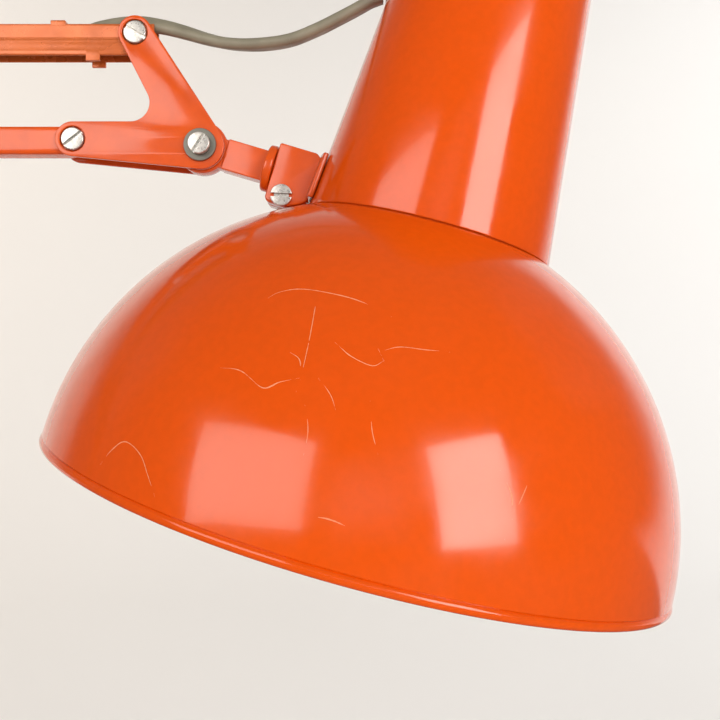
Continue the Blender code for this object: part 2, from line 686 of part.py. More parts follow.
def dome_profile():
    """The pressed dome: a half ellipse with a rolled bead at its rim and the neck's opening at its top."""
    low = math.degrees(math.asin(BEAD_HEIGHT / DOME_HEIGHT))
    high = math.degrees(math.asin((JUNCTION_HEIGHT - GAP) / DOME_HEIGHT))
    angles = [low + (high - low) * k / 10 for k in range(11)]
    radius = RIM_RADIUS - 0.0003

    def skin(inset):
        points = []
        for a in (math.radians(angle) for angle in angles):
            points.append(((radius - inset) * math.cos(a), (DOME_HEIGHT - inset) * math.sin(a)))
        return points

    bead = [(RIM_RADIUS - 0.0022, BEAD_HEIGHT - 0.0006), (RIM_RADIUS - 0.0022, 0.0005)]
    bead += [(RIM_RADIUS - 0.0016, 0.0), (RIM_RADIUS - 0.0006, 0.0), (RIM_RADIUS, 0.0006)]
    bead += [(RIM_RADIUS, BEAD_HEIGHT - 0.0006)]
    return skin(0.0) + list(reversed(skin(SHADE_WALL))) + bead


def build_shade(shade_pivot, shade, frame):
    """The shade's pieces, in the shade's frame, and the clamp in the stub's frame."""
    piece("shade_dome", turned(dome_profile(), shade, SHADE_SIDES), "orange enamel", shade_pivot)

    top = JUNCTION_HEIGHT + NECK_LENGTH
    neck = [(neck_radius(JUNCTION_HEIGHT), JUNCTION_HEIGHT), (neck_radius(top), top)]
    neck += [(neck_radius(top) - SHADE_WALL, top), (neck_radius(JUNCTION_HEIGHT) - SHADE_WALL, JUNCTION_HEIGHT)]
    entry, out = neck_wall(CORD_ENTRY, shade)
    neck = turned(neck, shade, SHADE_SIDES)
    neck = cut(neck, rod(0.0023 + GAP, entry - out * 0.01, entry + out * 0.01))
    piece("shade_neck", neck, "orange enamel", shade_pivot)

    sleeve = [(0.0, -0.003), (0.0023, -0.003), (0.0023, 0.0004), (0.0029, 0.0004), (0.0029, 0.0007), (0.0, 0.0007)]
    piece("neck_grommet", turned(sleeve, pointing(entry, out)), "grey vinyl", shade_pivot)

    piece("knuckle_clamp", knuckle_mesh(frame, shade), "orange satin", shade_pivot)
    lug = frame @ Vector((0.0281, 0.0, -0.0078))
    edge = KNUCKLE_HALF_WIDTH + GAP
    screw = clamp_bolt(lug, -edge, edge + 0.0035, 0.0033, 0.0010, 3)
    piece("clamp_screw", screw, "zinc", shade_pivot)
    piece("clamp_nut", hexagon_nut(lug, edge, edge + 0.0026, 0.0068), "zinc", shade_pivot)
    build_lamp(shade_pivot, shade, top)


def neck_wall(above, shade):
    """The point on the neck's wall on the arms' side, and the direction out of the wall there."""
    height = JUNCTION_HEIGHT + above
    place = shade @ Vector((-neck_radius(height), 0.0, height))
    slope = math.atan(NECK_SLOPE)
    out = shade.to_3x3() @ Vector((-math.cos(slope), 0.0, math.sin(slope)))
    return place, out


def build_lamp(shade_pivot, shade, top):
    """What closes the neck and what it holds: the cap, the lamp holder and the bulb."""
    rim, seat, hole = neck_radius(top) + 0.0006, top + GAP, 0.0068
    skirt = neck_radius(top) - SHADE_WALL - 0.0008
    cap = [(hole, seat + 0.0062), (hole, seat + 0.0075), (0.018, seat + 0.0063), (rim - 0.003, seat + 0.0030)]
    cap += [(rim, seat + 0.0010), (rim, seat), (skirt, seat), (skirt, seat - 0.007), (skirt - 0.001, seat - 0.007)]
    cap += [(skirt - 0.001, seat + 0.0005), (0.0175, seat + 0.0050)]
    piece("neck_cap", turned(cap, shade, 28), "orange enamel", shade_pivot)

    mouth, back = top - 0.058, top - 0.0005
    holder = [(0.0, back), (0.0130, back), (0.0160, back - 0.006), (0.0175, back - 0.022)]
    holder += [(0.0195, back - 0.024), (0.0195, mouth), (0.0142, mouth), (0.0142, mouth + 0.027)]
    holder += [(0.0, mouth + 0.027)]
    piece("lamp_socket", turned(holder, shade, 20), "bakelite", shade_pivot)

    crown = mouth - 0.052
    bulb = [(0.0, mouth + 0.0262), (0.0060, mouth + 0.0262), (0.0132, mouth + 0.021), (0.0132, mouth + 0.001)]
    bulb += [(0.0150, mouth - 0.010), (0.0205, mouth - 0.026), (0.0275, mouth - 0.040)]
    bulb += arc((0.0, crown), 0.0300, 12, -90)[:-1] + [(0.0, crown - 0.0300)]
    piece("bulb", turned(bulb, shade, 18), "opal glass", shade_pivot)


def build_switch(button_pivot, shade):
    top = JUNCTION_HEIGHT + NECK_LENGTH
    low, high = top + 0.0026, top + 0.0140
    profile = [(0.0, low), (0.0078, low), (0.0078, low + 0.0012), (0.0062, low + 0.0012)]
    profile += [(0.0062, high - 0.0015), (0.0048, high), (0.0, high)]
    piece("switch_button", turned(profile, shade, 16), "black plastic", button_pivot)


# The cord along the lamp


def lead_route(lower_frame, upper_frame, top, entry):
    """The cord's route: out of the turret, inside the lower channel, over the elbow, along the upper channel,
    over the head's upper pivot, and in a free bow to the neck."""
    inlet = Vector((-0.0175, 0.0, FLANGE_TOP + GAP + 0.0043))
    route = [inlet, inlet + Vector((0.0, 0.0, 0.012)), Vector((-0.0180, 0.0, 0.0640))]
    for x, z in ((0.012, -0.0142), (0.026, -0.0085), (0.044, -0.0030), (0.070, -0.0010), (0.130, -0.0039)):
        route.append(lower_frame @ Vector((x, 0.0, z)))
    for x, z in ((0.200, -0.0010), (0.300, -0.0010), (0.360, -0.0012), (0.379, -0.0001), (0.389, 0.0030)):
        route.append(lower_frame @ Vector((x, 0.0, z)))
    for x, z in ((0.400, 0.0052), (0.411, 0.0034)):
        route.append(lower_frame @ Vector((x, 0.0, z)))
    for x, z in ((-0.029, -0.0030), (-0.014, 0.0042), (0.000, 0.0052), (0.011, 0.0032), (0.021, -0.0001)):
        route.append(upper_frame @ Vector((x, 0.0, z)))
    for x, z in ((0.044, -0.0010), (0.090, -0.0010), (0.130, -0.0042), (0.180, -0.0012), (0.300, -0.0010)):
        route.append(upper_frame @ Vector((x, 0.0, z)))
    for x, z in ((0.360, -0.0012), (0.379, -0.0001), (0.389, 0.0032)):
        route.append(upper_frame @ Vector((x, 0.0, z)))
    free = ((-0.0010, 0.0048), (0.0074, 0.0034), (0.0149, 0.0013), (0.0224, -0.0007), (0.0300, -0.0020))
    free += ((0.0385, -0.0020), (0.0470, -0.0007), (0.0550, 0.0024), (0.0630, 0.0064))
    free += ((0.0686, 0.0094), (0.0720, 0.0113))
    route += [top + Vector((x, 0.0, z)) for x, z in free]
    return route + [entry - Vector((0.0022, 0.0, 0.0001))]


def build_lead(route, cuts, carriers):
    """The cord's lengths, one for each stretch between two joints, with a small gap from one to the next."""
    fine = smooth_route(route, LEAD_STEP)
    marks = [0]
    for place in cuts:
        marks.append(min(range(len(fine)), key=lambda k: (fine[k] - place).length))
    marks.append(len(fine) - 1)
    for (name, carrier), start, end in zip(carriers, marks, marks[1:]):
        stretch = fine[start + LEAD_SPLIT * (start > 0) : end]
        spacing = 0.007 if end - start > LONG_STRETCH else 0.005
        tube(name, evenly_spaced(stretch, spacing), CORD_RADIUS, "grey vinyl", carrier)


def main():
    for obj in list(bpy.data.objects):
        bpy.data.objects.remove(obj)

    lower_frame = bar_frame(YOKE_PIVOT, LOWER_ELEVATION, -1.0)
    elbow_lower = lower_frame @ Vector((ARM_LENGTH, 0.0, 0.0))
    upper = elbow_lower + ELBOW_UPPER_LINK - HEAD_LINK
    upper_frame = bar_frame(upper, 0.0, 1.0)
    top = upper_frame @ Vector((ARM_LENGTH, 0.0, 0.0))
    tilt = top + HEAD_TILT
    stub_frame = bar_frame(tilt, STUB_SLOPE, 1.0)
    shade = Matrix.Translation(top + RIM_CENTRE) @ Matrix.Rotation(math.radians(SHADE_TILT), 4, "Y")

    root = pivot("base", Vector())
    turret = pivot("turret", Vector((0.0, 0.0, BASE_TOP)), root)
    lower_channel = pivot("lower_channel", YOKE_PIVOT, turret)
    lower_link = pivot("lower_link", YOKE_PIVOT + YOKE_LINK, turret)
    elbow = pivot("elbow", elbow_lower, lower_channel)
    upper_channel = pivot("upper_channel", upper, elbow)
    upper_link = pivot("upper_link", upper + HEAD_LINK, elbow)
    bracket = pivot("head_bracket", top, upper_channel)
    stub = pivot("stub", tilt, bracket)
    shade_pivot = pivot("shade", stub_frame @ Vector((COLLAR[1], 0.0, 0.0)), stub)
    button = pivot("switch", shade @ Vector((0.0, 0.0, JUNCTION_HEIGHT + NECK_LENGTH)), shade_pivot)

    build_base(root)
    build_tail(root)
    build_turret(turret)
    inverse = lower_frame.inverted()
    link_offset = inverse @ (YOKE_PIVOT + YOKE_LINK)
    anchor = YOKE_PIVOT + YOKE_ANCHOR
    build_arm("lower", lower_frame, anchor, (link_offset.x, link_offset.z), lower_channel, lower_link)
    build_elbow(elbow, elbow_lower, elbow_lower + YOKE_LINK, upper, upper + HEAD_LINK)
    anchor = upper + ELBOW_ANCHOR
    build_arm("upper", upper_frame, anchor, (HEAD_LINK.x, HEAD_LINK.z), upper_channel, upper_link)
    build_head(bracket, top)
    build_stub(stub, tilt)
    build_shade(shade_pivot, shade, stub_frame)
    build_switch(button, shade)

    entry, _ = neck_wall(CORD_ENTRY, shade)
    route = lead_route(lower_frame, upper_frame, top, entry)
    cuts = [lower_frame @ Vector((0.070, 0.0, -0.001)), lower_frame @ Vector((0.418, 0.0, -0.001))]
    cuts += [upper_frame @ Vector((0.350, 0.0, -0.001)), top + Vector((0.0149, 0.0, 0.0013))]
    cuts += [top + Vector((0.0470, 0.0, -0.0007))]
    carriers = [("cord_base_loop", turret), ("cord_lower_run", lower_channel), ("cord_upper_run", upper_channel)]
    carriers += [("cord_head_loop_a", bracket), ("cord_head_loop_b", stub), ("cord_head_loop_c", shade_pivot)]
    build_lead(route, cuts, carriers)


main()
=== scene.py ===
# %% [markdown]
# # An architect desk lamp
# A weighted round base carries two sprung parallelogram arms, and the arms carry a spun steel shade that
# tilts and swivels. The sizes and the joints come from a measured CAD frame. This lesson gives each piece
# its finished shape, its material and its light. Every piece sits where the CAD piece sits, so that it
# still moves with the right joint.

import math
import random

import bmesh
import bpy
from mathutils import Matrix, Vector


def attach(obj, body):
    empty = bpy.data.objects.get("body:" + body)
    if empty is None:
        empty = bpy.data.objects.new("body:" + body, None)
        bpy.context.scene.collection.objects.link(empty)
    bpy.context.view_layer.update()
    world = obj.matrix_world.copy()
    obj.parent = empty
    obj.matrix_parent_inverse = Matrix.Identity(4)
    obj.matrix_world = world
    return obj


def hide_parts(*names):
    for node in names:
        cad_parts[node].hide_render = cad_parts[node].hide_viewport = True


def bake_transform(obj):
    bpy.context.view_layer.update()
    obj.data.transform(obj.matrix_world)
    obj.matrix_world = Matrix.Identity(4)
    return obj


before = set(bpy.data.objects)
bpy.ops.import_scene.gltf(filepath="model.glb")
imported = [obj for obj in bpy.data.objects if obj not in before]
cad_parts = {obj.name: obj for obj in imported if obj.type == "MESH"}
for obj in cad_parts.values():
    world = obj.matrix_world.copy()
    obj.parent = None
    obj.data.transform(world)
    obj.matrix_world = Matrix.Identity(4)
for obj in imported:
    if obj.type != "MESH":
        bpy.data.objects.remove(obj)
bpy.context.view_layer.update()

# %% [markdown]
# ## Where things are
# All lengths are in metres. The lamp moves in the plane y = 0, and four bars run between four pairs of
# pivots. Each bar's direction and each pivot's place follow from the arm's length and its angle, exactly as
# in the CAD part, so they are worked out here instead of being typed in.

# %% Pivots and frames
MM = 0.001
GAP = 0.3 * MM  # left between pieces that touch
ARM = 0.400  # between an arm's two main pivots
BAR_HALF = 3.6 * MM  # half a bar's width
PLATE_IN, PLATE_OUT = 3.9 * MM, 5.1 * MM  # a plate's inner and outer faces, from the middle plane
LINK_STEP = Vector((-0.0190, 0, -0.0325))  # from a main pivot to its link pivot, upper arm
YOKE_STEP = Vector((-0.030, 0, 0.010))  # the same, lower arm


def facing(place, along, side):
    """A frame at a place: X along, Y to the side, Z square to both."""
    x = Vector(along).normalized()
    z = x.cross(Vector(side)).normalized()
    y = z.cross(x)
    return Matrix.Translation(place) @ Matrix((x, y, z)).transposed().to_4x4()


def slanted(place, degrees, side):
    turn = math.radians(degrees)
    return facing(place, (math.cos(turn), 0, math.sin(turn)), (0, side, 0))


yoke = Vector((0, 0, 0.075))
lower = slanted(yoke, 110, -1)
elbow = lower @ Vector((ARM, 0, 0))
shoulder = elbow + Vector((0.026, 0, 0.004)) - LINK_STEP
upper = slanted(shoulder, 0, 1)
head = upper @ Vector((ARM, 0, 0))
tilt = head + Vector((0.0200, 0, -0.0345))
stub = slanted(tilt, -16.5, 1)
shade = Matrix.Translation(head + Vector((0.0671, 0, -0.1459))) @ Matrix.Rotation(math.radians(15), 4, "Y")
for name, place in (("elbow", elbow), ("shoulder", shoulder), ("head", head), ("tilt", tilt)):
    print(name, [round(value * 1000, 1) for value in place], "mm")

# %% [markdown]
# ## Camera
# The camera looks level and square at the head from its own height, close enough that the arms and the base
# are out of the picture. It comes early because the cord is coiled behind the base, outside this view.

# %% Camera
CAMERA_PLACE = (0.376792, -0.2656, 0.387477)
camera_data = bpy.data.cameras.new("camera")
camera_data.lens, camera_data.sensor_width = 42.8, 36.0
camera_data.clip_start, camera_data.clip_end = 0.01, 20.0
camera = bpy.data.objects.new("camera", camera_data)
camera.location, camera.rotation_euler = CAMERA_PLACE, (math.radians(90), 0, 0)
bpy.context.scene.collection.objects.link(camera)
bpy.context.scene.camera = camera
half_view = 0.2656 * camera_data.sensor_width / 2 / camera_data.lens
print("the view is", round(2000 * half_view), "mm wide at the lamp's middle plane")

# %% [markdown]
# ## Colour and shader nodes
# A colour is written as the sRGB hex code that a paint chart gives, and shaders want linear light, so one
# function converts every colour. One more function adds a node of any kind: attributes are set by name,
# and an input takes either a number or the socket that feeds it.


# %% Colour and node helpers
def srgb(code):
    """The linear RGBA colour of a #RRGGBB code."""
    channels = [int(code[k : k + 2], 16) / 255 for k in (1, 3, 5)]
    linear = [c / 12.92 if c <= 0.04045 else ((c + 0.055) / 1.055) ** 2.4 for c in channels]
    return (*linear, 1.0)


def add(tree, kind, inputs=None, **attributes):
    node = tree.nodes.new(kind)
    for name, value in attributes.items():
        setattr(node, name, value)
    for name, value in (inputs or {}).items():
        socket = node.inputs[name]
        if isinstance(value, bpy.types.NodeSocket):
            tree.links.new(value, socket)
        else:
            socket.default_value = value
    return node


def coating(name, colour, roughness, **sockets):
    """A Principled material with one colour; later cells add its texture."""
    material = bpy.data.materials.new(name)
    material.use_nodes = True
    shader = material.node_tree.nodes["Principled BSDF"]
    shader.inputs["Base Color"].default_value = srgb(colour)
    shader.inputs["Roughness"].default_value = roughness
    for key, value in sockets.items():
        shader.inputs[key.replace("_", " ")].default_value = value
    material.diffuse_color = srgb(colour)
    return material


def noise_of(tree, size_mm, detail=2.0, stretch=(1, 1, 1)):
    """Noise whose lumps are about size_mm across on the real piece, longer where stretch is small."""
    place = add(tree, "ShaderNodeTexCoord").outputs["Object"]
    place = add(tree, "ShaderNodeMapping", {"Vector": place, "Scale": stretch}).outputs["Vector"]
    noise = add(tree, "ShaderNodeTexNoise", {"Vector": place, "Scale": 1000 / size_mm, "Detail": detail})
    return noise.outputs["Fac"]


def ramp_of(tree, factor, low, high, start=0.0, end=1.0):
    """A factor's range low..high stretched to start..end and clamped."""
    inputs = {"Value": factor, "From Min": low, "From Max": high, "To Min": start, "To Max": end}
    return add(tree, "ShaderNodeMapRange", inputs).outputs["Result"]


def textured(material, mottle=None, rough=None, bumps=()):
    """Adds noise to a material: mottle = (other colour, mm, share), rough = (low, high, mm), and each of
    bumps = (mm, height in mm)."""
    tree = material.node_tree
    shader = tree.nodes["Principled BSDF"]
    if mottle:
        other, size, share = mottle
        factor = ramp_of(tree, noise_of(tree, size, 4.0), 0.35, 0.65, 0.0, share)
        inputs = {"Factor": factor, "A": shader.inputs["Base Color"].default_value[:], "B": srgb(other)}
        mix = add(tree, "ShaderNodeMix", data_type="RGBA")
        for socket in mix.inputs:
            if socket.name in inputs and (socket.type == "RGBA" or socket.identifier == "Factor_Float"):
                value = inputs[socket.name]
                if isinstance(value, bpy.types.NodeSocket):
                    tree.links.new(value, socket)
                else:
                    socket.default_value = value
        colour = next(out for out in mix.outputs if out.type == "RGBA")
        tree.links.new(colour, shader.inputs["Base Color"])
    if rough:
        low, high, size = rough
        wear = ramp_of(tree, noise_of(tree, size, 3.0), 0.3, 0.7, low, high)
        tree.links.new(wear, shader.inputs["Roughness"])
    normal = None
    for size, height in bumps:
        inputs = {"Height": noise_of(tree, size), "Distance": height * MM, "Strength": 1.0}
        if normal:
            inputs["Normal"] = normal
        normal = add(tree, "ShaderNodeBump", inputs).outputs["Normal"]
    if normal:
        tree.links.new(normal, shader.inputs["Normal"])
    return material


# %% [markdown]
# ## Paint
# The shade and the base are pressed steel under a sprayed gloss enamel: saturated orange, a clear wet gloss,
# and the faint orange-peel ripple that spray leaves, a few millimetres across and a hundredth high.
# Years of wiping leave the gloss uneven and the colour a little cloudy. The bars and brackets have the same
# paint with a satin surface; the channel bars take a paler, coppery copy of it as painted sheen, with redder
# handled patches. Bare places show a pale primer.

# %% Paints
gloss = coating(
    "orange enamel, sprayed gloss", "#DA4F02", 0.15, IOR=1.5, Coat_Weight=0.3, Coat_Roughness=0.05
)
textured(gloss, ("#BE4703", 2.2, 0.2), (0.10, 0.20, 14), ((2.6, 0.012), (0.6, 0.003)))
satin = coating("orange enamel, sprayed satin", "#D85410", 0.2, IOR=1.5, Coat_Weight=0.4, Coat_Roughness=0.1)
textured(satin, ("#B8441A", 7, 0.4), (0.14, 0.26, 8), ((1.4, 0.006), (0.35, 0.001)))
# Paler and more coppery than the satin paint: a painted sheen, the highlight the channel bars catch put into
# their colour.
satin_painted_sheen = coating(
    "orange enamel, satin, paler for painted sheen", "#CF6A30", 0.3,
    IOR=1.5, Metallic=0.25, Coat_Weight=0.3, Coat_Roughness=0.15,
)
textured(satin_painted_sheen, ("#B45A2C", 9, 0.5), (0.2, 0.38, 6), ((1.2, 0.003),))
primer = coating("grey-pink primer, bared by scratches", "#E08C62", 0.6)

# %% [markdown]
# ## Metals, plastics and the rest
# Screws and pins are steel under bright zinc, springs are drawn wire, and the base's weight is cast iron
# that no one sees. The cord's sheath is extruded PVC, grey-brown with age. Each roughness is a typical one
# for how the surface is made, from about 0.3 for bright plate to 0.95 for felt.

# %% Other materials
zinc = coating("steel, bright zinc plate", "#EAEAE5", 0.3, Metallic=0.75)
textured(zinc, ("#AFAEA6", 0.9, 0.45), (0.22, 0.42, 1.0), ((0.5, 0.003),))
dull = coating("steel, zinc plate gone dull", "#8F9088", 0.5, Metallic=0.9)
wire = coating("steel, drawn spring wire", "#BDBEC0", 0.36, Metallic=0.8)
iron = coating("iron, as cast", "#3A3A3B", 0.7, Metallic=0.6)
textured(iron, None, None, ((1.2, 0.08),))
felt = coating("wool felt, pressed", "#2E3A30", 0.95, Sheen_Weight=0.5)
textured(felt, ("#1F2821", 1.5, 0.8), None, ((0.6, 0.2),))
vinyl = coating("grey PVC, extruded", "#8A8572", 0.42, IOR=1.53)
textured(vinyl, ("#6F6B5B", 6, 0.5), (0.34, 0.5, 3), ((0.8, 0.008),))
plastic = coating("black plastic, moulded", "#17171A", 0.38, IOR=1.5)
textured(plastic, None, (0.3, 0.45, 2), ((0.3, 0.004),))
nylon = coating("pink nylon, moulded", "#DDA08E", 0.42, IOR=1.53)
bakelite = coating("brown bakelite, moulded", "#2A1710", 0.22, IOR=1.6)
opal = coating("opal glass, blown", "#F1EDE2", 0.18, IOR=1.5, Subsurface_Weight=0.6)
opal.node_tree.nodes["Principled BSDF"].inputs["Subsurface Radius"].default_value = (0.004, 0.004, 0.003)
nickel = coating("brass, nickel plate", "#BDB8AC", 0.25, Metallic=1.0)
print("materials:", len(bpy.data.materials))

# %% [markdown]
# ## Tools for shapes
# Almost everything on a lamp like this is turned, pressed from plate, or drawn along a line, so three
# functions make nearly all of it. A turned piece is an outline spun about an axis. A plate is a flat outline
# with holes, given a thickness and a small round on its edges. A swept piece is a section carried along a
# route. Real edges are never sharp, so outlines pass through a function that rounds their corners first.


# %% Mesh helpers
def finished(name, source, material, crease=32):
    """A mesh object from a bmesh: welded, faces out, smooth except across edges sharper than crease."""
    bmesh.ops.remove_doubles(source, verts=source.verts[:], dist=1e-7)
    bmesh.ops.recalc_face_normals(source, faces=source.faces[:])
    if source.calc_volume(signed=True) < 0:
        bmesh.ops.reverse_faces(source, faces=source.faces[:])
    mesh = bpy.data.meshes.new(name)
    source.to_mesh(mesh)
    source.free()
    mesh.materials.append(material)
    mesh.polygons.foreach_set("use_smooth", [True] * len(mesh.polygons))
    mesh.set_sharp_from_angle(angle=math.radians(crease))
    obj = bpy.data.objects.new(name, mesh)
    bpy.context.scene.collection.objects.link(obj)
    return obj


def rounded(points, radius, steps=4, closed=True):
    """An outline with each corner replaced by a short arc-like curve of about that radius."""
    out = [] if closed else [tuple(points[0])]
    count = len(points)
    for k in range(count) if closed else range(1, count - 1):
        before, corner, after = (Vector(points[(k + d) % count]) for d in (-1, 0, 1))
        reach_in = min(radius, (before - corner).length * 0.45)
        reach_out = min(radius, (after - corner).length * 0.45)
        start = corner + (before - corner).normalized() * reach_in
        end = corner + (after - corner).normalized() * reach_out
        for j in range(steps + 1):
            t = j / steps
            out.append(tuple(start * (1 - t) ** 2 + corner * 2 * t * (1 - t) + end * t**2))
    return out if closed else [*out, tuple(points[-1])]


def turned(name, profile, place, material, sides=96, crease=32):
    """A solid of revolution: (radius, height) points about the frame's Z axis."""
    bm = bmesh.new()
    rings = []
    for radius, height in profile:
        if radius < 1e-7:
            rings.append([bm.verts.new(place @ Vector((0, 0, height)))])
        else:
            turns = [2 * math.pi * k / sides for k in range(sides)]
            spots = [Vector((radius * math.cos(t), radius * math.sin(t), height)) for t in turns]
            rings.append([bm.verts.new(place @ spot) for spot in spots])
    pairs = list(zip(rings, rings[1:]))
    if len(rings[0]) > 1:
        pairs.append((rings[-1], rings[0]))
    for one, two in pairs:
        for k in range(sides):
            corners = [one[k % len(one)], one[(k + 1) % len(one)], two[(k + 1) % len(two)], two[k % len(two)]]
            corners = list(dict.fromkeys(corners))
            if len(corners) > 2:
                bm.faces.new(corners)
    return finished(name, bm, material, crease)


def plate(name, outline, holes, low, high, edge, place, material, crease=40):
    """A flat outline with holes in the frame's XY plane, from Z = low to high, its edges rounded by edge.
    A hole is (x, y, radius) or its own outline."""
    flat = bpy.data.curves.new(name, "CURVE")
    flat.dimensions, flat.fill_mode = "2D", "BOTH"
    flat.extrude, flat.bevel_depth = (high - low) / 2 - edge, edge
    flat.offset, flat.bevel_resolution = -edge, 2
    loops = [outline]
    for hole in holes:
        if len(hole) == 3 and isinstance(hole[0], float):
            turns = [2 * math.pi * k / 40 for k in range(40)]
            hole = [(hole[0] + hole[2] * math.cos(t), hole[1] + hole[2] * math.sin(t)) for t in turns]
        loops.append(hole)
    for loop in loops:
        spline = flat.splines.new("POLY")
        spline.points.add(len(loop) - 1)
        spline.use_cyclic_u = True
        for point, (x, y) in zip(spline.points, loop):
            point.co = (x, y, 0, 1)
    holder = bpy.data.objects.new(name + "_flat", flat)
    bpy.context.scene.collection.objects.link(holder)
    solid = holder.evaluated_get(bpy.context.evaluated_depsgraph_get())
    bm = bmesh.new()
    bm.from_mesh(bpy.data.meshes.new_from_object(solid))
    bpy.data.objects.remove(holder)
    bmesh.ops.transform(bm, matrix=place @ Matrix.Translation((0, 0, (low + high) / 2)), verts=bm.verts[:])
    return finished(name, bm, material, crease)


def drill_line(radius, half=10 * MM):
    """The outline that turns into a plain rod for cutting a hole, as long each way as half."""
    return [(0, -half), (radius, -half), (radius, half), (0, half)]


def swept(name, route, section, sides, material, scale=None, crease=40):
    """A section, as (across, up) points, carried along a route; sides holds each point's across direction."""
    bm = bmesh.new()
    rings = []
    for k, place in enumerate(route):
        along = route[min(k + 1, len(route) - 1)] - route[max(k - 1, 0)]
        across = (sides[k] - along * (sides[k].dot(along) / along.length_squared)).normalized()
        up = along.normalized().cross(across)
        size = scale[k] if scale else 1.0
        rings.append([bm.verts.new(place + (across * a + up * b) * size) for a, b in section])
    count = len(section)
    for one, two in zip(rings, rings[1:]):
        for k in range(count):
            bm.faces.new((one[k], one[(k + 1) % count], two[(k + 1) % count], two[k]))
    bm.faces.new(list(reversed(rings[0])))
    bm.faces.new(rings[-1])
    return finished(name, bm, material, crease)


def carved(obj, operation, *tools):
    """The object after Booleans with the tools, which are used up."""
    for tool in tools:
        modifier = obj.modifiers.new("cut", "BOOLEAN")
        modifier.object, modifier.operation, modifier.solver = tool, operation, "EXACT"
    return applied(obj, tools)


def applied(obj, used=()):
    solid = obj.evaluated_get(bpy.context.evaluated_depsgraph_get())
    mesh = bpy.data.meshes.new_from_object(solid)
    obj.modifiers.clear()
    obj.data = mesh
    for tool in used:
        bpy.data.objects.remove(tool)
    return obj


def block(name, low, high, place, material, edge=0.0):
    """A box in a frame, its edges rounded by edge."""
    outline = [(low[0], low[1]), (high[0], low[1]), (high[0], high[1]), (low[0], high[1])]
    if edge:
        return plate(name, rounded(outline, edge), [], low[2], high[2], edge, place, material)
    bm = bmesh.new()
    bmesh.ops.create_cube(bm, size=1.0)
    size = [high[k] - low[k] for k in range(3)]
    middle = [(high[k] + low[k]) / 2 for k in range(3)]
    stretched = Matrix.LocRotScale(Vector(middle), None, Vector(size))
    bmesh.ops.transform(bm, matrix=place @ stretched, verts=bm.verts[:])
    return finished(name, bm, material)


def settle(obj, body, slot, *nodes):
    """The piece moves with a body and stands for the CAD nodes; its slot is not used."""
    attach(obj, body)
    if nodes:
        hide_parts(*nodes)
    return obj

# %% [markdown]
# ## The cord
# The cord is flat twin flex, two cores side by side in one grey PVC sheath, 5.4 by 3.5 mm. It leaves the
# base through a strain relief, and its spare length lies behind the base in a flat coil, wound inwards on
# the table and outwards again on top, so that both ends come free. Its route is one list of points, made
# smooth by a Catmull-Rom curve, and the sheath is a stadium-shaped section carried along it.


# %% Routes
def smooth(points, spacing):
    """Evenly spaced points on a smooth curve through the given ones."""
    ends = [points[0] * 2 - points[1], *points, points[-1] * 2 - points[-2]]
    fine = []
    for a, b, c, d in zip(ends, ends[1:], ends[2:], ends[3:]):
        for k in range(24):
            t = k / 24
            spread = (c - a) * t + (a * 2 - b * 5 + c * 4 - d) * t**2 + (b * 3 - a - c * 3 + d) * t**3
            fine.append(b + spread / 2)
    fine.append(points[-1].copy())
    return spaced(fine, spacing)


def length_of(route):
    return sum((b - a).length for a, b in zip(route, route[1:]))


def spaced(fine, spacing):
    count = max(1, round(length_of(fine) / spacing))
    step, walked, route = length_of(fine) / count, 0.0, [fine[0]]
    for a, b in zip(fine, fine[1:]):
        part = (b - a).length
        while part > 0 and walked + part >= step * len(route) and len(route) < count:
            route.append(a.lerp(b, (step * len(route) - walked) / part))
        walked += part
    return [*route, fine[-1]]


def stadium(half_width, half_height, steps=7):
    """A flat cord's section: two round edges and a shallow valley between the cores on each face."""
    middle, section = half_width - half_height, []
    for side, start in ((1, -90), (-1, 90)):
        for k in range(steps + 1):
            turn = math.radians(start + 180 * k / steps)
            section.append((side * middle + half_height * math.cos(turn), half_height * math.sin(turn)))
        section.append((0.0, side * half_height * 0.93))
    return section


CORD_WIDTH, CORD_THICK = 5.4 * MM, 3.5 * MM
cord_section = stadium(CORD_WIDTH / 2, CORD_THICK / 2)

# %% The free length, from the base round its coil to the plug
COIL = Vector((-0.215, 0.070, 0))
LOW, HIGH = 1.8 * MM, 5.35 * MM  # the two layers' middle heights
tail_start = [(-0.1273, 0, 0.0085), (-0.138, 0, 0.0078), (-0.149, 0.001, 0.0052), (-0.159, 0.005, 0.003)]
tail_start += [(-0.169, 0.012, LOW), (-0.179, 0.0205, LOW)]
turns = []
radii = [41.4, 35.8, 30.2, 24.6, 27.4, 33.0, 38.6, 38.6]  # of the coil's turns, in the order they are laid
STEPS = 48
for k in range(round(7.28 * STEPS)):
    whole, part = divmod(k / STEPS, 1.0)
    ease = max(0.0, min(1.0, (part - 0.78) / 0.22))
    ease = ease * ease * (3 - 2 * ease)
    first, second = radii[int(whole)], radii[min(int(whole) + 1, 7)]
    radius = (first + (second - first) * ease) * MM
    lift = HIGH if whole >= 4 else LOW + (HIGH - LOW) * ease * (whole == 3)
    angle = math.radians(-92 - 360 * k / STEPS)
    turns.append(COIL + Vector((radius * math.cos(angle), radius * math.sin(angle), lift)))
tail_end = [(-0.2555, 0.0895, 0.0046), (-0.2568, 0.102, 0.0025), (-0.2545, 0.116, LOW), (-0.247, 0.129, LOW)]
tail_end += [(-0.236, 0.138, 0.0022), (-0.225, 0.1425, 0.0042), (-0.2112, 0.1435, 0.0066)]
tail_route = [Vector(p) for p in tail_start]
tail_route += [Vector((-0.1895, 0.0262, LOW)), Vector((-0.2025, 0.0286, LOW))]
tail_route = smooth(tail_route + turns[2:] + [Vector(p) for p in tail_end], 2.2 * MM)
flat_side = []
for k, place in enumerate(tail_route):
    along = tail_route[min(k + 1, len(tail_route) - 1)] - tail_route[max(k - 1, 0)]
    flat_side.append(Vector((0, 0, 1)).cross(along).normalized())
tail = swept("cord_on_table", tail_route, cord_section, flat_side, vinyl)
settle(tail, "base", "grey_vinyl", "cord_tail", "cord_coil", "cord_end")
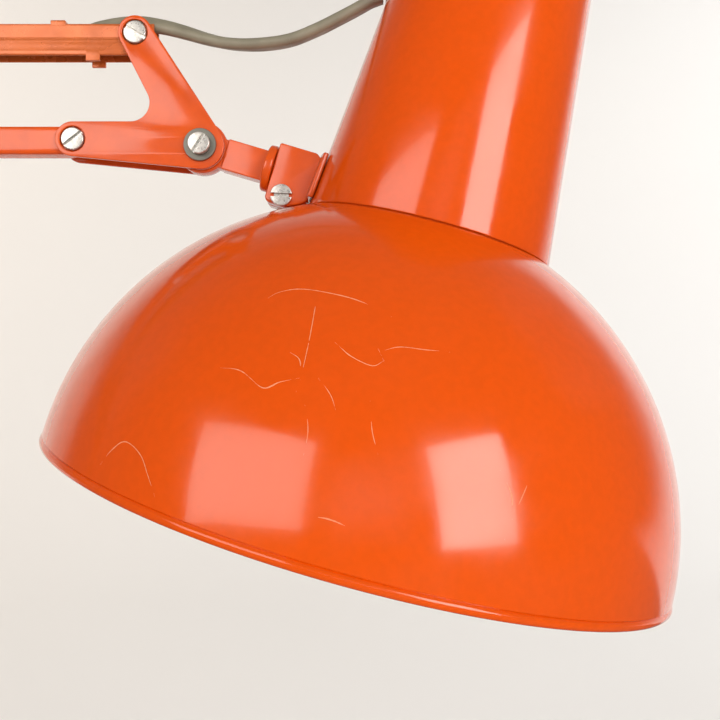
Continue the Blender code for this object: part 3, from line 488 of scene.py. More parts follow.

# %% [markdown]
# ## The cord along the arms
# Inside the bars the cord stands on edge, because a channel is only 5.4 mm wide inside. It climbs over each
# pivot, twists until it lies flat, and sags in a free bow to the neck. Each joint bends one length of it, so
# the cord is cut into six lengths that meet face to face. Each length is listed with the two bodies of its
# joint and two points, and is left where it lies.

# %% The cord's six lengths
inlet = Vector((-0.0175, 0, 0.0411))
lead = [(inlet, 90), (inlet + Vector((0, 0, 0.012)), 80), (Vector((-0.0180, 0, 0.0640)), 40)]
for x, z in ((12, -14.2), (26, -8.5), (44, -3.0), (70, -1.0), (130, -3.9), (200, -1.0), (300, -1.0)):
    lead.append((lower @ Vector((x * MM, 0, z * MM)), 0))
for x, z in ((360, -1.2), (379, -0.1), (389, 3.0), (400, 5.2), (411, 3.4)):
    lead.append((lower @ Vector((x * MM, 0, z * MM)), 0))
for x, z in ((-29, -3.0), (-14, 4.2), (0, 5.2), (11, 3.2), (21, -0.1), (44, -1.0), (90, -1.0), (130, -4.2)):
    lead.append((upper @ Vector((x * MM, 0, z * MM)), 0))
for x, z in ((180, -1.2), (300, -1.0), (360, -1.2), (379, -0.1), (389, 2.7)):
    lead.append((upper @ Vector((x * MM, 0, z * MM)), 0))
bow = ((-1.0, 4.4, 35), (7.4, 3.4, 42), (14.9, 1.5, 52), (22.4, -0.7, 66), (30.0, -2.0, 80), (38.5, -2.0, 90))
bow += ((47.0, -0.7, 90), (55.0, 2.4, 90), (63.0, 6.4, 90))
bow += ((68.6, 9.4, 90), (72.0, 11.3, 90), (75.3, 12.5, 90))
lead += [(head + Vector((x * MM, 0, z * MM)), twist) for x, z, twist in bow]
fine = smooth([place for place, _ in lead], 0.5 * MM)
marks = [min(range(len(fine)), key=lambda k: (fine[k] - place).length) for place, _ in lead]
twists = []
for k in range(len(fine)):
    j = max(i for i, mark in enumerate(marks) if mark <= k)
    j = min(j, len(lead) - 2)
    share = (k - marks[j]) / max(1, marks[j + 1] - marks[j])
    twists.append(lead[j][1] + (lead[j + 1][1] - lead[j][1]) * min(1, share))
sides = []
for k in range(len(fine)):
    along = fine[min(k + 1, len(fine) - 1)] - fine[max(k - 1, 0)]
    edge_on = along.cross(Vector((0, 1, 0))).normalized()
    turn = math.radians(twists[k])
    sides.append(edge_on * math.cos(turn) + Vector((0, 1, 0)) * math.sin(turn))


def near(frame_or_place, x, z):
    base = frame_or_place.to_translation() if isinstance(frame_or_place, Matrix) else frame_or_place
    place = frame_or_place @ Vector((x * MM, 0, z * MM)) if isinstance(frame_or_place, Matrix) else None
    return place or base + Vector((x * MM, 0, z * MM))


cuts = [near(lower, 70, -1), near(lower, 418, -1), near(upper, 350, -1)]
cuts += [near(head, 14.9, 1.5), near(head, 47, -0.7)]
cuts = [0, *(min(range(len(fine)), key=lambda k: (fine[k] - p).length) for p in cuts), len(fine) - 1]
lengths = [("cord_base_loop", "turret", "lower_channel", inlet, near(lower, 44, -3))]
lengths += [("cord_lower_run", "lower_channel", "elbow", near(lower, 382, 0), near(lower, 414, 2))]
lengths += [("cord_upper_run", "elbow", "upper_channel", near(upper, -26, -1), near(upper, 22, 0))]
lengths += [("cord_head_loop_a", "upper_channel", "head_bracket", near(head, -12, 3), near(head, 14, 1.5))]
lengths += [("cord_head_loop_b", "head_bracket", "stub", near(head, 15.5, 1.5), near(head, 46, -0.7))]
lengths += [("cord_head_loop_c", "stub", "shade", near(head, 48, -0.7), near(head, 70, 9.8))]
for (node, one, two, start, end), first, last in zip(lengths, cuts, cuts[1:]):
    keep = [*range(first, last, 3), last]
    piece = swept(node + "_flex", [fine[k] for k in keep], cord_section, [sides[k] for k in keep], vinyl)
    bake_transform(piece)
    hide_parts(node)
    print(node, round(1000 * length_of(fine[first : last + 1])), "mm")

# %% [markdown]
# ## The shade
# The dome is one steel disc spun over a former into half an ellipse, with its rim rolled over a wire into a
# round bead. The neck is a cone that starts at the dome's crown, and the crease where they meet catches the
# light. Both are turned from their real outlines, one millimetre of steel thick, and the neck is pierced by
# a rounded slot for the cord.

# %% Dome
RIM, DOME_R, DOME_H, WALL = 95 * MM, 94.7 * MM, 93.7 * MM, 1.0 * MM
JOIN_H, JOIN_R, NECK_SLOPE, NECK_LENGTH = 85.9 * MM, 38.05 * MM, 0.1015, 105 * MM


def neck_radius(height):
    return JOIN_R - NECK_SLOPE * (height - JOIN_H)


def dome_skin(inset, low, high, steps=56):
    angles = [math.radians(low + (high - low) * k / steps) for k in range(steps + 1)]
    return [((DOME_R - inset) * math.cos(a), (DOME_H - inset) * math.sin(a)) for a in angles]


bead_middle, bead_radius = (RIM - 1.35 * MM, 1.35 * MM), 1.35 * MM
bead = [math.radians(60 - 300 * k / 20) for k in range(21)]
bead = [(bead_radius * math.cos(a), bead_radius * math.sin(a)) for a in bead]
bead = [(bead_middle[0] + x, bead_middle[1] + z) for x, z in bead]
top_angle = math.degrees(math.asin((JOIN_H - GAP) / DOME_H))
outer, inner = dome_skin(0, 1.75, top_angle), dome_skin(WALL, 1.9, top_angle - 0.4)
profile = rounded(outer[-2:] + inner[:-3:-1], 0.3 * MM, 3, closed=False)
dome = turned("dome", outer[:-1] + profile + inner[:-1][::-1] + bead[::-1], shade, gloss, 256)
settle(dome, "shade", "orange_enamel", "shade_dome")
print("dome:", len(dome.data.polygons), "faces")

# %% Neck and its slot for the cord
top = JOIN_H + NECK_LENGTH
lip = JOIN_R - WALL - 0.25 * MM  # a lip that locates the neck inside the dome's crown
neck_outline = [(neck_radius(JOIN_H), JOIN_H + 0.1 * MM), (neck_radius(top), top)]
neck_outline += [(neck_radius(top) - WALL, top), (lip - 0.9 * MM, JOIN_H - 3 * MM), (lip, JOIN_H - 3 * MM)]
neck_outline += [(lip, JOIN_H + 0.1 * MM)]
neck = turned("neck", rounded(neck_outline, 0.35 * MM, 4), shade, gloss, 224)
entry_height = JOIN_H + 0.070
entry = shade @ Vector((-neck_radius(entry_height), 0, entry_height))
slope = math.atan(NECK_SLOPE)
way_out = shade.to_3x3() @ Vector((-math.cos(slope), 0, math.sin(slope)))
slot_frame = Matrix.Translation(entry) @ way_out.to_track_quat("Z", "Y").to_matrix().to_4x4()
across = 1 if abs((slot_frame.to_3x3() @ Vector((1, 0, 0))).y) > 0.5 else 0


def slot_shape(half_width, half_height, steps=10):
    shape = stadium(half_width, half_height, steps)
    return shape if across else [(y, -x) for x, y in shape]


hole = plate("hole", slot_shape(3.2 * MM, 2.2 * MM), [], -0.008, 0.008, 0.1 * MM, slot_frame, gloss)
carved(neck, "DIFFERENCE", hole)
neck.data.set_sharp_from_angle(angle=math.radians(32))
settle(neck, "shade", "orange_enamel", "shade_neck")
print("the cord enters", round((entry - head).x * 1000, 1), "mm from the head's upper pivot")

grommet = plate(
    "neck_sleeve", slot_shape(3.15 * MM, 2.15 * MM), [slot_shape(2.75 * MM, 1.8 * MM)],
    -2.4 * MM, 0.35 * MM, 0.12 * MM, slot_frame, vinyl,
)
settle(grommet, "shade", "grey_vinyl", "neck_grommet")

# %% [markdown]
# ## The neck's cap, the lamp holder and the bulb
# A pressed cap closes the neck and carries the push switch. Below it a bakelite holder takes an ordinary
# opal bulb, whose nickel-plated cap has a screw thread rolled into it. All of them are turned outlines; the
# thread is a stack of round ridges, which is what it looks like once it is screwed home.

# %% Cap, holder, bulb and switch
rim, seat, bore = neck_radius(top) + 0.6 * MM, top + GAP, 6.8 * MM
skirt = neck_radius(top) - WALL - 0.8 * MM
cap = [(bore, seat + 6.2 * MM), (bore, seat + 7.5 * MM)]
cap += [(0.018, seat + 6.3 * MM), (rim - 3 * MM, seat + 3 * MM)]
cap += [(rim, seat + 1 * MM), (rim, seat), (skirt, seat)]
cap += [(skirt, seat - 7 * MM), (skirt - 1 * MM, seat - 7 * MM)]
cap += [(skirt - 1 * MM, seat + 0.5 * MM), (17.5 * MM, seat + 5 * MM)]
cap = turned("cap", rounded(cap, 0.9 * MM, 5), shade, gloss, 160)
settle(cap, "shade", "orange_enamel", "neck_cap")

mouth, back = top - 58 * MM, top - 0.5 * MM
holder = [(0, back), (13 * MM, back), (16 * MM, back - 6 * MM), (17.5 * MM, back - 22 * MM)]
holder += [(19.5 * MM, back - 24 * MM), (19.5 * MM, mouth), (14.2 * MM, mouth), (14.2 * MM, mouth + 27 * MM)]
holder += [(0, mouth + 27 * MM)]
holder = turned("holder", rounded(holder, 1.0 * MM, 4, closed=False), shade, bakelite, 96)
settle(holder, "shade", "bakelite", "lamp_socket")

crown = mouth - 52 * MM
ball = [math.radians(12 - 102 * k / 24) for k in range(25)]
ball = [(30 * MM * math.cos(a), crown + 30 * MM * math.sin(a)) for a in ball]
bulb_line = [(0, mouth + 2 * MM), (13.2 * MM, mouth + 1 * MM), (15 * MM, mouth - 10 * MM)]
bulb_line += [(20.5 * MM, mouth - 26 * MM), (27.5 * MM, mouth - 40 * MM)]
bulb_outline = rounded(bulb_line + ball[:1], 8 * MM, 6, closed=False)
bulb_outline += ball[1:-1] + [(0, crown - 30 * MM)]
bulb = turned("bulb_glass", bulb_outline, shade, opal, 96, 60)
settle(bulb, "shade", "opal_glass", "bulb")
thread = [(0, mouth + 26 * MM), (5.5 * MM, mouth + 26 * MM), (12.0 * MM, mouth + 21.5 * MM)]
for k in range(6):
    ridge = mouth + (20 - 3 * k) * MM
    thread += [(13.1 * MM, ridge), (13.1 * MM, ridge - 1.2 * MM), (12.1 * MM, ridge - 2.2 * MM)]
thread += [(13.3 * MM, mouth + 1.5 * MM), (0, mouth + 1.5 * MM)]
thread = turned("bulb_cap", rounded(thread, 0.8 * MM, 3, closed=False), shade, nickel, 72)
settle(thread, "shade", "opal_glass")

low, high = top + 2.6 * MM, top + 14 * MM
button = [(0, low), (7.8 * MM, low), (7.8 * MM, low + 1.2 * MM), (6.2 * MM, low + 1.2 * MM)]
button += [(6.2 * MM, high - 1.5 * MM), (4.8 * MM, high), (0, high - 0.4 * MM)]
button = turned("button", rounded(button, 0.5 * MM, 4, closed=False), shade, plastic, 64)
settle(button, "switch", "black_plastic", "switch_button")

# %% [markdown]
# ## Pressed brackets
# The yoke, the elbow and the head are each a pair of flat plates, 1.2 mm thick, with a lobe round every
# pivot. An outline like that is a belt round circles: an arc on each circle, joined by straight tangents.
# The head's plate also has a rounded notch on the arms' side, so that the bars can swing into it.


# %% Outlines
def arc(centre, radius, start, end, step=6):
    count = max(2, math.ceil(abs(end - start) / step))
    turns = [math.radians(start + (end - start) * k / count) for k in range(count + 1)]
    return [(centre[0] + radius * math.cos(t), centre[1] + radius * math.sin(t)) for t in turns]


def tangent(first, second):
    dx, dz = second[0] - first[0], second[1] - first[1]
    return math.degrees(math.atan2(dz, dx) - math.acos((first[2] - second[2]) / math.hypot(dx, dz)))


def belt(circles):
    """A belt around circles given anticlockwise as (x, z, radius)."""
    outline = []
    for k, circle in enumerate(circles):
        start, end = tangent(circles[k - 1], circle), tangent(circle, circles[(k + 1) % len(circles)])
        outline += arc(circle, circle[2], start, start + (end - start) % 360)
    return outline


def xz(place):
    return place.x, place.z


upright = Matrix.Rotation(math.radians(90), 4, "X")  # a plate's own X and Y become world X and Z
link_head = head + LINK_STEP
ring_a, ring_b, ring_c = (*xz(head), 5.1 * MM), (*xz(link_head), 5.3 * MM), (*xz(tilt), 7.15 * MM)
notch, lean = 5.8 * MM, 207.0
notch_z = ring_b[1] + ring_b[2] + notch
normal = (math.cos(math.radians(lean)), math.sin(math.radians(lean)))
notch_x = ring_a[0] + (ring_a[2] + notch - (notch_z - ring_a[1]) * normal[1]) / normal[0]
head_outline = arc(ring_a, ring_a[2], tangent(ring_c, ring_a), lean)
head_outline += arc((notch_x, notch_z), notch, lean - 180, -90)
head_outline += arc(ring_b, ring_b[2], 90, tangent(ring_b, ring_c) % 360)
start = tangent(ring_b, ring_c) % 360
head_outline += arc(ring_c, ring_c[2], start, start + (tangent(ring_c, ring_a) - start) % 360)

# %% Plates
HOLE, SHANK_HOLE = 3.9 * MM, 2.3 * MM
yoke_link, elbow_link, shoulder_link = yoke + YOKE_STEP, elbow + YOKE_STEP, shoulder + LINK_STEP
lower_anchor, upper_anchor = yoke + Vector((-0.026, 0, -0.006)), shoulder + Vector((-0.008, 0, 0.022))
foot = Vector((0, 0, 0.050))
yoke_circles = [(-0.009, 0.041, 0.004), (0.009, 0.041, 0.004), (*xz(yoke), 0.0075)]
yoke_circles += [(*xz(yoke_link), 0.0062), (*xz(lower_anchor), 0.005)]
elbow_circles = [(*xz(elbow_link), 0.0062), (*xz(elbow), 0.0075), (*xz(shoulder_link), 0.0062)]
elbow_circles += [(*xz(shoulder), 0.0075), (*xz(upper_anchor), 0.005)]
pairs = {
    "yoke_plate": (belt(yoke_circles), [yoke, yoke_link], [lower_anchor, foot], "turret"),
    "elbow_plate": (
        belt(elbow_circles), [elbow, elbow_link, shoulder, shoulder_link], [upper_anchor], "elbow",
    ),
    "head_plate": (head_outline, [head, link_head], [tilt], "head_bracket"),
}
for name, (outline, wide, narrow, body) in pairs.items():
    holes = [(*xz(p), HOLE) for p in wide] + [(*xz(p), SHANK_HOLE) for p in narrow]
    for side, low, high in (("front", PLATE_IN, PLATE_OUT), ("rear", -PLATE_OUT, -PLATE_IN)):
        made = plate(f"{name}_{side}_pressed", outline, holes, low, high, 0.22 * MM, upright, satin)
        settle(made, body, "orange_satin", f"{name}_{side}")
print("plates: 6, each", round((PLATE_OUT - PLATE_IN) * 1000, 1), "mm thick")

# %% [markdown]
# ## Bars
# Each arm is a parallelogram of two bars. The main bar is a channel, open towards its partner, with the cord
# lying in it; the second bar is a small square tube. A section is drawn once, with its bend radii and the
# crease that stiffens the channel's sides, and extruded to the bar's length. Windows for the cord and small
# folded tabs near the far end are cut and joined afterwards.

# %% Channels and square tubes
OVERHANG, WINDOW = 5.5 * MM, 20.5 * MM
endwise = Matrix(((0, 0, 1, 0), (1, 0, 0, 0), (0, 1, 0, 0), (0, 0, 0, 1)))  # extrudes along a bar's X
half, bottom, roof, wall = BAR_HALF, -6.5 * MM, 3.2 * MM, 0.9 * MM
crease = [(half, -2.0 * MM), (half - 0.22 * MM, -1.6 * MM), (half, -1.2 * MM)]
channel = [(half - wall, bottom), (half, bottom), *crease, (half, roof)]
channel += [(-x, z) for x, z in reversed(channel)]
inside = half - wall
channel += [(-inside, roof - wall), (inside, roof - wall)]
channel = rounded(channel, 0.8 * MM, 4)


def drill(bar, places, z=0.0):
    """Cuts pivot holes across a bar."""
    across = bar @ upright
    rods = []
    for x in places:
        spot = across @ Matrix.Translation((x, z, 0))
        rods.append(turned("drill", drill_line(SHANK_HOLE), spot, zinc, 32))
    return rods


def channel_bar(name, bar, material, body, node):
    made = plate(name, channel, [], -OVERHANG, ARM + OVERHANG, 0.15 * MM, bar @ endwise, material)
    tools = drill(bar, (0, 0.130, ARM))
    for low, high in ((-0.02, WINDOW), (ARM - WINDOW, ARM + 0.02)):
        tools.append(block("window", (low, -inside, 0), (high, inside, 0.02), bar, material))
    carved(made, "DIFFERENCE", *tools)
    tab_low, tab_high = (ARM - 26.2 * MM, -half, 2.5 * MM), (ARM - 21.6 * MM, half, 4.2 * MM)
    tabs = [block("tab", tab_low, tab_high, bar, material, 0.3 * MM)]
    for side in (-1, 1):
        near_edge, far_edge = sorted((side * half, side * inside))
        low, high = (ARM - 15.4 * MM, near_edge, -8.2 * MM), (ARM - 11.1 * MM, far_edge, -5.0 * MM)
        tabs.append(block("tab", low, high, bar, material, 0.2 * MM))
    carved(made, "UNION", *tabs)
    made.data.set_sharp_from_angle(angle=math.radians(40))
    return settle(made, body, "orange_satin", node)


def tube_bar(name, bar, step, material, body, node):
    high, thick = 4.25 * MM, 0.9 * MM
    outline = [(-half, -high), (half, -high), (half, high), (-half, high)]
    hollow = [(x * (half - thick) / half, z * (high - thick) / high) for x, z in outline]
    place = bar @ Matrix.Translation((0, 0, step[1])) @ endwise
    ends = (step[0] - OVERHANG, step[0] + ARM + OVERHANG)
    edge, inside = rounded(outline, 1.1 * MM, 5), rounded(hollow, 0.5 * MM, 3)
    made = plate(name, edge, [inside], *ends, 0.12 * MM, place, material)
    carved(made, "DIFFERENCE", *drill(bar, (step[0], step[0] + ARM), step[1]))
    made.data.set_sharp_from_angle(angle=math.radians(40))
    return settle(made, body, "orange_satin", node)


step = lower.inverted() @ yoke_link
# The channel bars take the paler copy of the satin paint, which is painted sheen.
channel_bar("lower_channel_folded", lower, satin_painted_sheen, "lower_channel", "lower_channel_bar")
tube_bar("lower_link_tube", lower, (step.x, step.z), satin, "lower_link", "lower_link_bar")
channel_bar("upper_channel_folded", upper, satin_painted_sheen, "upper_channel", "upper_channel_bar")
tube_bar("upper_link_tube", upper, (LINK_STEP.x, LINK_STEP.z), satin, "upper_link", "upper_link_bar")

# %% [markdown]
# ## Pivot screws
# Every pivot is the same fastener: a shank with a slotted cheese head at each side, which sits in the
# plate's hole and stands 0.3 mm proud of it. One screw is modelled, and Geometry Nodes set a copy of it on each pivot, turned as that screw
# happens to have been left. A vertex marks each pivot and carries the turn as a named attribute.

# %% One screw
HEAD_R, HEAD_OUT, SHANK = 3.4 * MM, 5.4 * MM, 1.9 * MM
half_line = [(SHANK, PLATE_IN + GAP), (HEAD_R, PLATE_IN + GAP), (HEAD_R, HEAD_OUT), (0, HEAD_OUT + 0.12 * MM)]
screw_line = [(r, -z) for r, z in reversed(half_line)] + half_line
screw = turned("screw", rounded(screw_line, 0.3 * MM, 4, closed=False), Matrix.Identity(4), zinc, 64)
slots = []
for side in (1, -1):
    low, high = sorted((side * (HEAD_OUT - 1.0 * MM), side * 0.02))
    slots.append(block("slot", (-0.02, -0.55 * MM, low), (0.02, 0.55 * MM, high), Matrix.Identity(4), zinc))
carved(screw, "DIFFERENCE", *slots)
screw.data.set_sharp_from_angle(angle=math.radians(38))

# %% A node tree that places screws
screw_tree = bpy.data.node_groups.new("screws on pivots", "GeometryNodeTree")
screw_tree.interface.new_socket("Geometry", in_out="OUTPUT", socket_type="NodeSocketGeometry")
sockets = (("Geometry", "Geometry"), ("Screw", "Object"), ("Size", "Float"), ("Material", "Material"))
for label, kind in sockets:
    screw_tree.interface.new_socket(label, in_out="INPUT", socket_type="NodeSocket" + kind)
source = add(screw_tree, "NodeGroupInput")
info = add(screw_tree, "GeometryNodeObjectInfo", {"Object": source.outputs["Screw"], "As Instance": True})
turn = add(screw_tree, "GeometryNodeInputNamedAttribute", {"Name": "turn"}, data_type="FLOAT_VECTOR")
turn = add(screw_tree, "FunctionNodeEulerToRotation", {"Euler": turn.outputs["Attribute"]})
spots = add(screw_tree, "GeometryNodeInstanceOnPoints", {
    "Points": source.outputs["Geometry"], "Instance": info.outputs["Geometry"],
    "Rotation": turn.outputs["Rotation"], "Scale": source.outputs["Size"],
})
real = add(screw_tree, "GeometryNodeRealizeInstances", {"Geometry": spots.outputs["Instances"]})
coat = {"Geometry": real.outputs["Geometry"], "Material": source.outputs["Material"]}
coat = add(screw_tree, "GeometryNodeSetMaterial", coat)
add(screw_tree, "NodeGroupOutput", {"Geometry": coat.outputs["Geometry"]})


def through_tree(obj, tree, values):
    """The object's mesh after the node tree, as plain mesh, with the tree's inputs set by name."""
    modifier = obj.modifiers.new("tree", "NODES")
    modifier.node_group = tree
    for item in tree.interface.items_tree:
        if item.in_out == "INPUT" and item.name in values:
            modifier[item.identifier] = values[item.name]
    obj.update_tag()
    return applied(obj)


# %% The screws of each body
bodies = {
    "turret": [("yoke_screw_main", yoke, -25), ("yoke_screw_link", yoke_link, -70)],
    "elbow": [("elbow_screw_lower_main", elbow, -40), ("elbow_screw_lower_link", elbow_link, -115)],
    "head_bracket": [("head_screw_upper", head, -30), ("head_screw_lower", link_head, 38)],
}
bodies["elbow"] += [("elbow_screw_upper_main", shoulder, -80)]
bodies["elbow"] += [("elbow_screw_upper_link", shoulder_link, -150)]
for body, rows in bodies.items():
    points = bpy.data.meshes.new("pivots")
    points.from_pydata([place for _, place, _ in rows], [], [])
    turns_of = points.attributes.new("turn", "FLOAT_VECTOR", "POINT")
    for k, (_, _, degrees) in enumerate(rows):
        turns_of.data[k].vector = (upright @ Matrix.Rotation(math.radians(degrees), 4, "Z")).to_euler()
    made = bpy.data.objects.new(f"pivot_screws_{body}", points)
    bpy.context.scene.collection.objects.link(made)
    through_tree(made, screw_tree, {"Screw": screw, "Size": 1.0, "Material": zinc})
    made.data.set_sharp_from_angle(angle=math.radians(38))
    settle(made, body, "zinc_steel", *(node for node, _, _ in rows))
    print(body, len(rows), "screws,", len(made.data.polygons), "faces")
bpy.data.objects.remove(screw)

# %% [markdown]
# ## The tilting stub and its clamp
# The head tilts on one bolt that pinches a tongue between the plates, with a nylon washer on each side to
# give a smooth drag. The stub ends in a bevelled collar and a pin, and the shade's clamp turns on that pin.
# The clamp is a block with a split lug below, tightened by a small screw, on a flange curved to the neck.

# %% Stub, collar and swivel pin
tongue_half, shoulder_x, collar_x = 2.6 * MM, 7.45 * MM, (20.3 * MM, 23.0 * MM)
across_stub = stub @ upright
tongue = arc((0, 0), 7.9 * MM, 35, 325)
tongue += [(shoulder_x + 1.7 * MM, -4.4 * MM), (shoulder_x + 1.7 * MM, 4.4 * MM)]
tongue = plate("tongue", tongue, [], -tongue_half, tongue_half, 0.25 * MM, across_stub, satin)
bar = block("bar", (-3.2 * MM, -4.75 * MM, shoulder_x), (3.2 * MM, 4.75 * MM, collar_x[0] + 1 * MM),
            stub @ endwise, satin, 0.4 * MM)
collar = [(0, collar_x[0]), (7.25 * MM, collar_x[0]), (7.25 * MM, collar_x[1]), (4.0 * MM, collar_x[1])]
collar += [(4.0 * MM, 34.5 * MM), (0, 34.5 * MM)]
collar = turned("collar", rounded(collar, 0.75 * MM, 4, closed=False), stub @ endwise, satin, 96)
rod_hole = turned("drill", drill_line(SHANK_HOLE), across_stub, zinc, 32)
carved(bar, "UNION", tongue)
carved(bar, "UNION", collar)
carved(bar, "DIFFERENCE", rod_hole)
bar.name = "stub_and_collar"
bar.data.set_sharp_from_angle(angle=math.radians(38))
settle(bar, "stub", "orange_satin", "tilt_stub")

# %% Friction washers, tilt bolt, washer and nut
for side, low, high in (("front", tongue_half + GAP, half), ("rear", -half, -tongue_half - GAP)):
    ring = [(SHANK_HOLE, low), (7.1 * MM, low), (7.1 * MM, high), (SHANK_HOLE, high)]
    edge = rounded(ring, 0.2 * MM, 3)
    ring = turned(f"nylon_washer_{side}", edge, Matrix.Translation(tilt) @ upright, nylon, 72)
    settle(ring, "stub", "nylon", f"friction_washer_{side}")


def slotted_bolt(name, place, seat, head_r, height, end, degrees, material=zinc):
    """A cheese-head bolt that faces the front: its seat's depth, its head, and how far back it ends."""
    line = [(0, seat + height + 0.1 * MM), (head_r, seat + height), (head_r, seat), (SHANK, seat)]
    line += [(SHANK, end), (0, end)]
    where = Matrix.Translation(place) @ upright @ Matrix.Rotation(math.radians(degrees), 4, "Z")
    bolt = turned(name, rounded(line, 0.3 * MM, 4, closed=False), where, material, 64)
    low = seat + height - 1.0 * MM
    slot = block("slot", (-0.02, -0.55 * MM, low), (0.02, 0.55 * MM, low + 0.01), where, material)
    carved(bolt, "DIFFERENCE", slot)
    bolt.data.set_sharp_from_angle(angle=math.radians(38))
    return bolt


def hexagon(name, place, across, low, high, material=zinc):
    reach = across / math.sqrt(3)
    sixths = [math.radians(60 * k) for k in range(6)]
    corners = [(reach * math.cos(t), reach * math.sin(t)) for t in sixths]
    where = Matrix.Translation(place) @ upright
    edge = rounded(corners, 0.4 * MM, 3)
    return plate(name, edge, [(0.0, 0.0, SHANK_HOLE)], low, high, 0.25 * MM, where, material)


low, high = PLATE_OUT + GAP, PLATE_OUT + GAP + 0.9 * MM
bolt = slotted_bolt("tilt_bolt_slotted", tilt, high + GAP, 3.28 * MM, 1.9 * MM, -9.4 * MM, 57)
settle(bolt, "head_bracket", "zinc_steel", "tilt_bolt")
ring = rounded([(SHANK_HOLE, low), (4.95 * MM, low), (4.95 * MM, high), (SHANK_HOLE, high)], 0.25 * MM, 3)
flat_washer = turned("tilt_washer_flat", ring, Matrix.Translation(tilt) @ upright, dull, 72)
settle(flat_washer, "head_bracket", "zinc_steel",
       "tilt_washer")
nut = hexagon("tilt_nut_hexagon", tilt, 8.0 * MM, -low - 3.4 * MM, -low)
settle(nut, "head_bracket", "zinc_steel", "tilt_nut")

# %% Knuckle, flange and clamp screw
base_low, base_high, knuckle_half = -10.7 * MM, 6.8 * MM, 5.8 * MM
outline = [(23.3, -9.7), (24.3, -10.7), (30.0, -10.7), (34.5, -8.6), (36.0, -7.3), (36.9, 6.0), (35.0, 7.6)]
outline += [(23.3, 7.6)]
outline = rounded([(x * MM, z * MM) for x, z in outline], 0.7 * MM, 4)
knuckle = plate("knuckle", outline, [], -knuckle_half, knuckle_half, 0.5 * MM, across_stub, satin)
lug = Vector((28.1 * MM, 0, -7.8 * MM))
bore_tool = [(0, 10 * MM), (4.3 * MM, 10 * MM), (4.3 * MM, 35.3 * MM), (0, 35.3 * MM)]
bore_tool = turned("bore", bore_tool, stub @ endwise, satin, 48)
split = block("split", (20 * MM, -0.6 * MM, -20 * MM), (32.5 * MM, 0.6 * MM, -2 * MM), stub, satin)
cross = [(0, -0.01), (SHANK_HOLE, -0.01), (SHANK_HOLE, 0.01), (0, 0.01)]
cross = turned("drill", cross, stub @ Matrix.Translation(lug) @ upright, satin, 32)
carved(knuckle, "DIFFERENCE", bore_tool, split, cross)
knuckle.data.set_sharp_from_angle(angle=math.radians(38))
settle(knuckle, "shade", "orange_satin", "knuckle_clamp")

flange_low, flange_high, reach = JOIN_H + 2.0 * MM, JOIN_H + 16.0 * MM, math.radians(17)
bm = bmesh.new()
rows = []
for k in range(25):
    turn = math.pi - reach + 2 * reach * k / 24
    row = []
    corners = ((flange_low, GAP), (flange_high, GAP), (flange_high, 1.9 * MM), (flange_low, 1.9 * MM))
    for height, out in corners:
        radius = neck_radius(height) + out
        row.append(bm.verts.new(shade @ Vector((radius * math.cos(turn), radius * math.sin(turn), height))))
    rows.append(row)
for one, two in zip(rows, rows[1:]):
    for k in range(4):
        bm.faces.new((one[k], one[(k + 1) % 4], two[(k + 1) % 4], two[k]))
bm.faces.new(rows[0])
bm.faces.new(rows[-1][::-1])
bmesh.ops.recalc_face_normals(bm, faces=bm.faces[:])
sharp = [e for e in bm.edges if e.calc_face_angle(0) > 0.6]
bmesh.ops.bevel(bm, geom=sharp, offset=0.45 * MM, segments=4, affect="EDGES", profile=0.5)
flange = finished("knuckle_flange", bm, satin, 40)
settle(flange, "shade", "orange_satin")

lug_place = stub @ lug
bolt = slotted_bolt("clamp_screw_slotted", lug_place, knuckle_half + GAP, 3.3 * MM, 1.0 * MM, -9.6 * MM, -3)
settle(bolt, "shade", "zinc_steel", "clamp_screw")
nut = hexagon("clamp_nut_hexagon", lug_place, 6.8 * MM, -knuckle_half - GAP - 2.6 * MM, -knuckle_half - GAP)
settle(nut, "shade", "zinc_steel", "clamp_nut")

# %% [markdown]
# ## Springs and their pins
# Two tension springs on each arm balance the weight of everything above them. A spring is about eighty turns
# of wire, wound so close that they almost touch, with a hook at each end that sits on a cross pin. Geometry
# Nodes carry a round wire along the path; the tree's inputs are the wire's thickness and its material.

# %% Pins
pin_line = [(0, 19.5), (1.8, 19.5), (1.8, 15.6), (1.3, 15.4), (1.3, 12.6), (1.8, 12.4)]
pin_line = [(r * MM, z * MM) for r, z in pin_line]
pin_line = rounded(pin_line + [(r, -z) for r, z in reversed(pin_line)], 0.3 * MM, 3, closed=False)
lower_pin, upper_pin = lower @ Vector((0.130, 0, 0)), upper @ Vector((0.130, 0, 0))
pins = {"lower_spring_anchor": (lower_anchor, "turret"), "upper_spring_anchor": (upper_anchor, "elbow")}
pins["lower_spring_pin"] = (lower_pin, "lower_channel")
pins["upper_spring_pin"] = (upper_pin, "upper_channel")
for node, (place, body) in pins.items():
    pin = turned(node + "_turned", pin_line, Matrix.Translation(place) @ upright, zinc, 48)
    settle(pin, body, "zinc_steel", node)

# %% A node tree that draws wire along a path
wire_tree = bpy.data.node_groups.new("wire along a path", "GeometryNodeTree")
wire_tree.interface.new_socket("Geometry", in_out="OUTPUT", socket_type="NodeSocketGeometry")
sockets = (("Geometry", "Geometry"), ("Thickness", "Float"), ("Sides", "Int"), ("Material", "Material"))
for label, kind in sockets:
    wire_tree.interface.new_socket(label, in_out="INPUT", socket_type="NodeSocket" + kind)
source = add(wire_tree, "NodeGroupInput")
line = add(wire_tree, "GeometryNodeMeshToCurve", {"Mesh": source.outputs["Geometry"]})
radius = add(wire_tree, "ShaderNodeMath", {0: source.outputs["Thickness"], 1: 0.5}, operation="MULTIPLY")
circle = {"Resolution": source.outputs["Sides"], "Radius": radius.outputs[0]}
circle = add(wire_tree, "GeometryNodeCurvePrimitiveCircle", circle)
body_of = {"Curve": line.outputs["Curve"], "Profile Curve": circle.outputs["Curve"], "Fill Caps": True}
body_of = add(wire_tree, "GeometryNodeCurveToMesh", body_of)
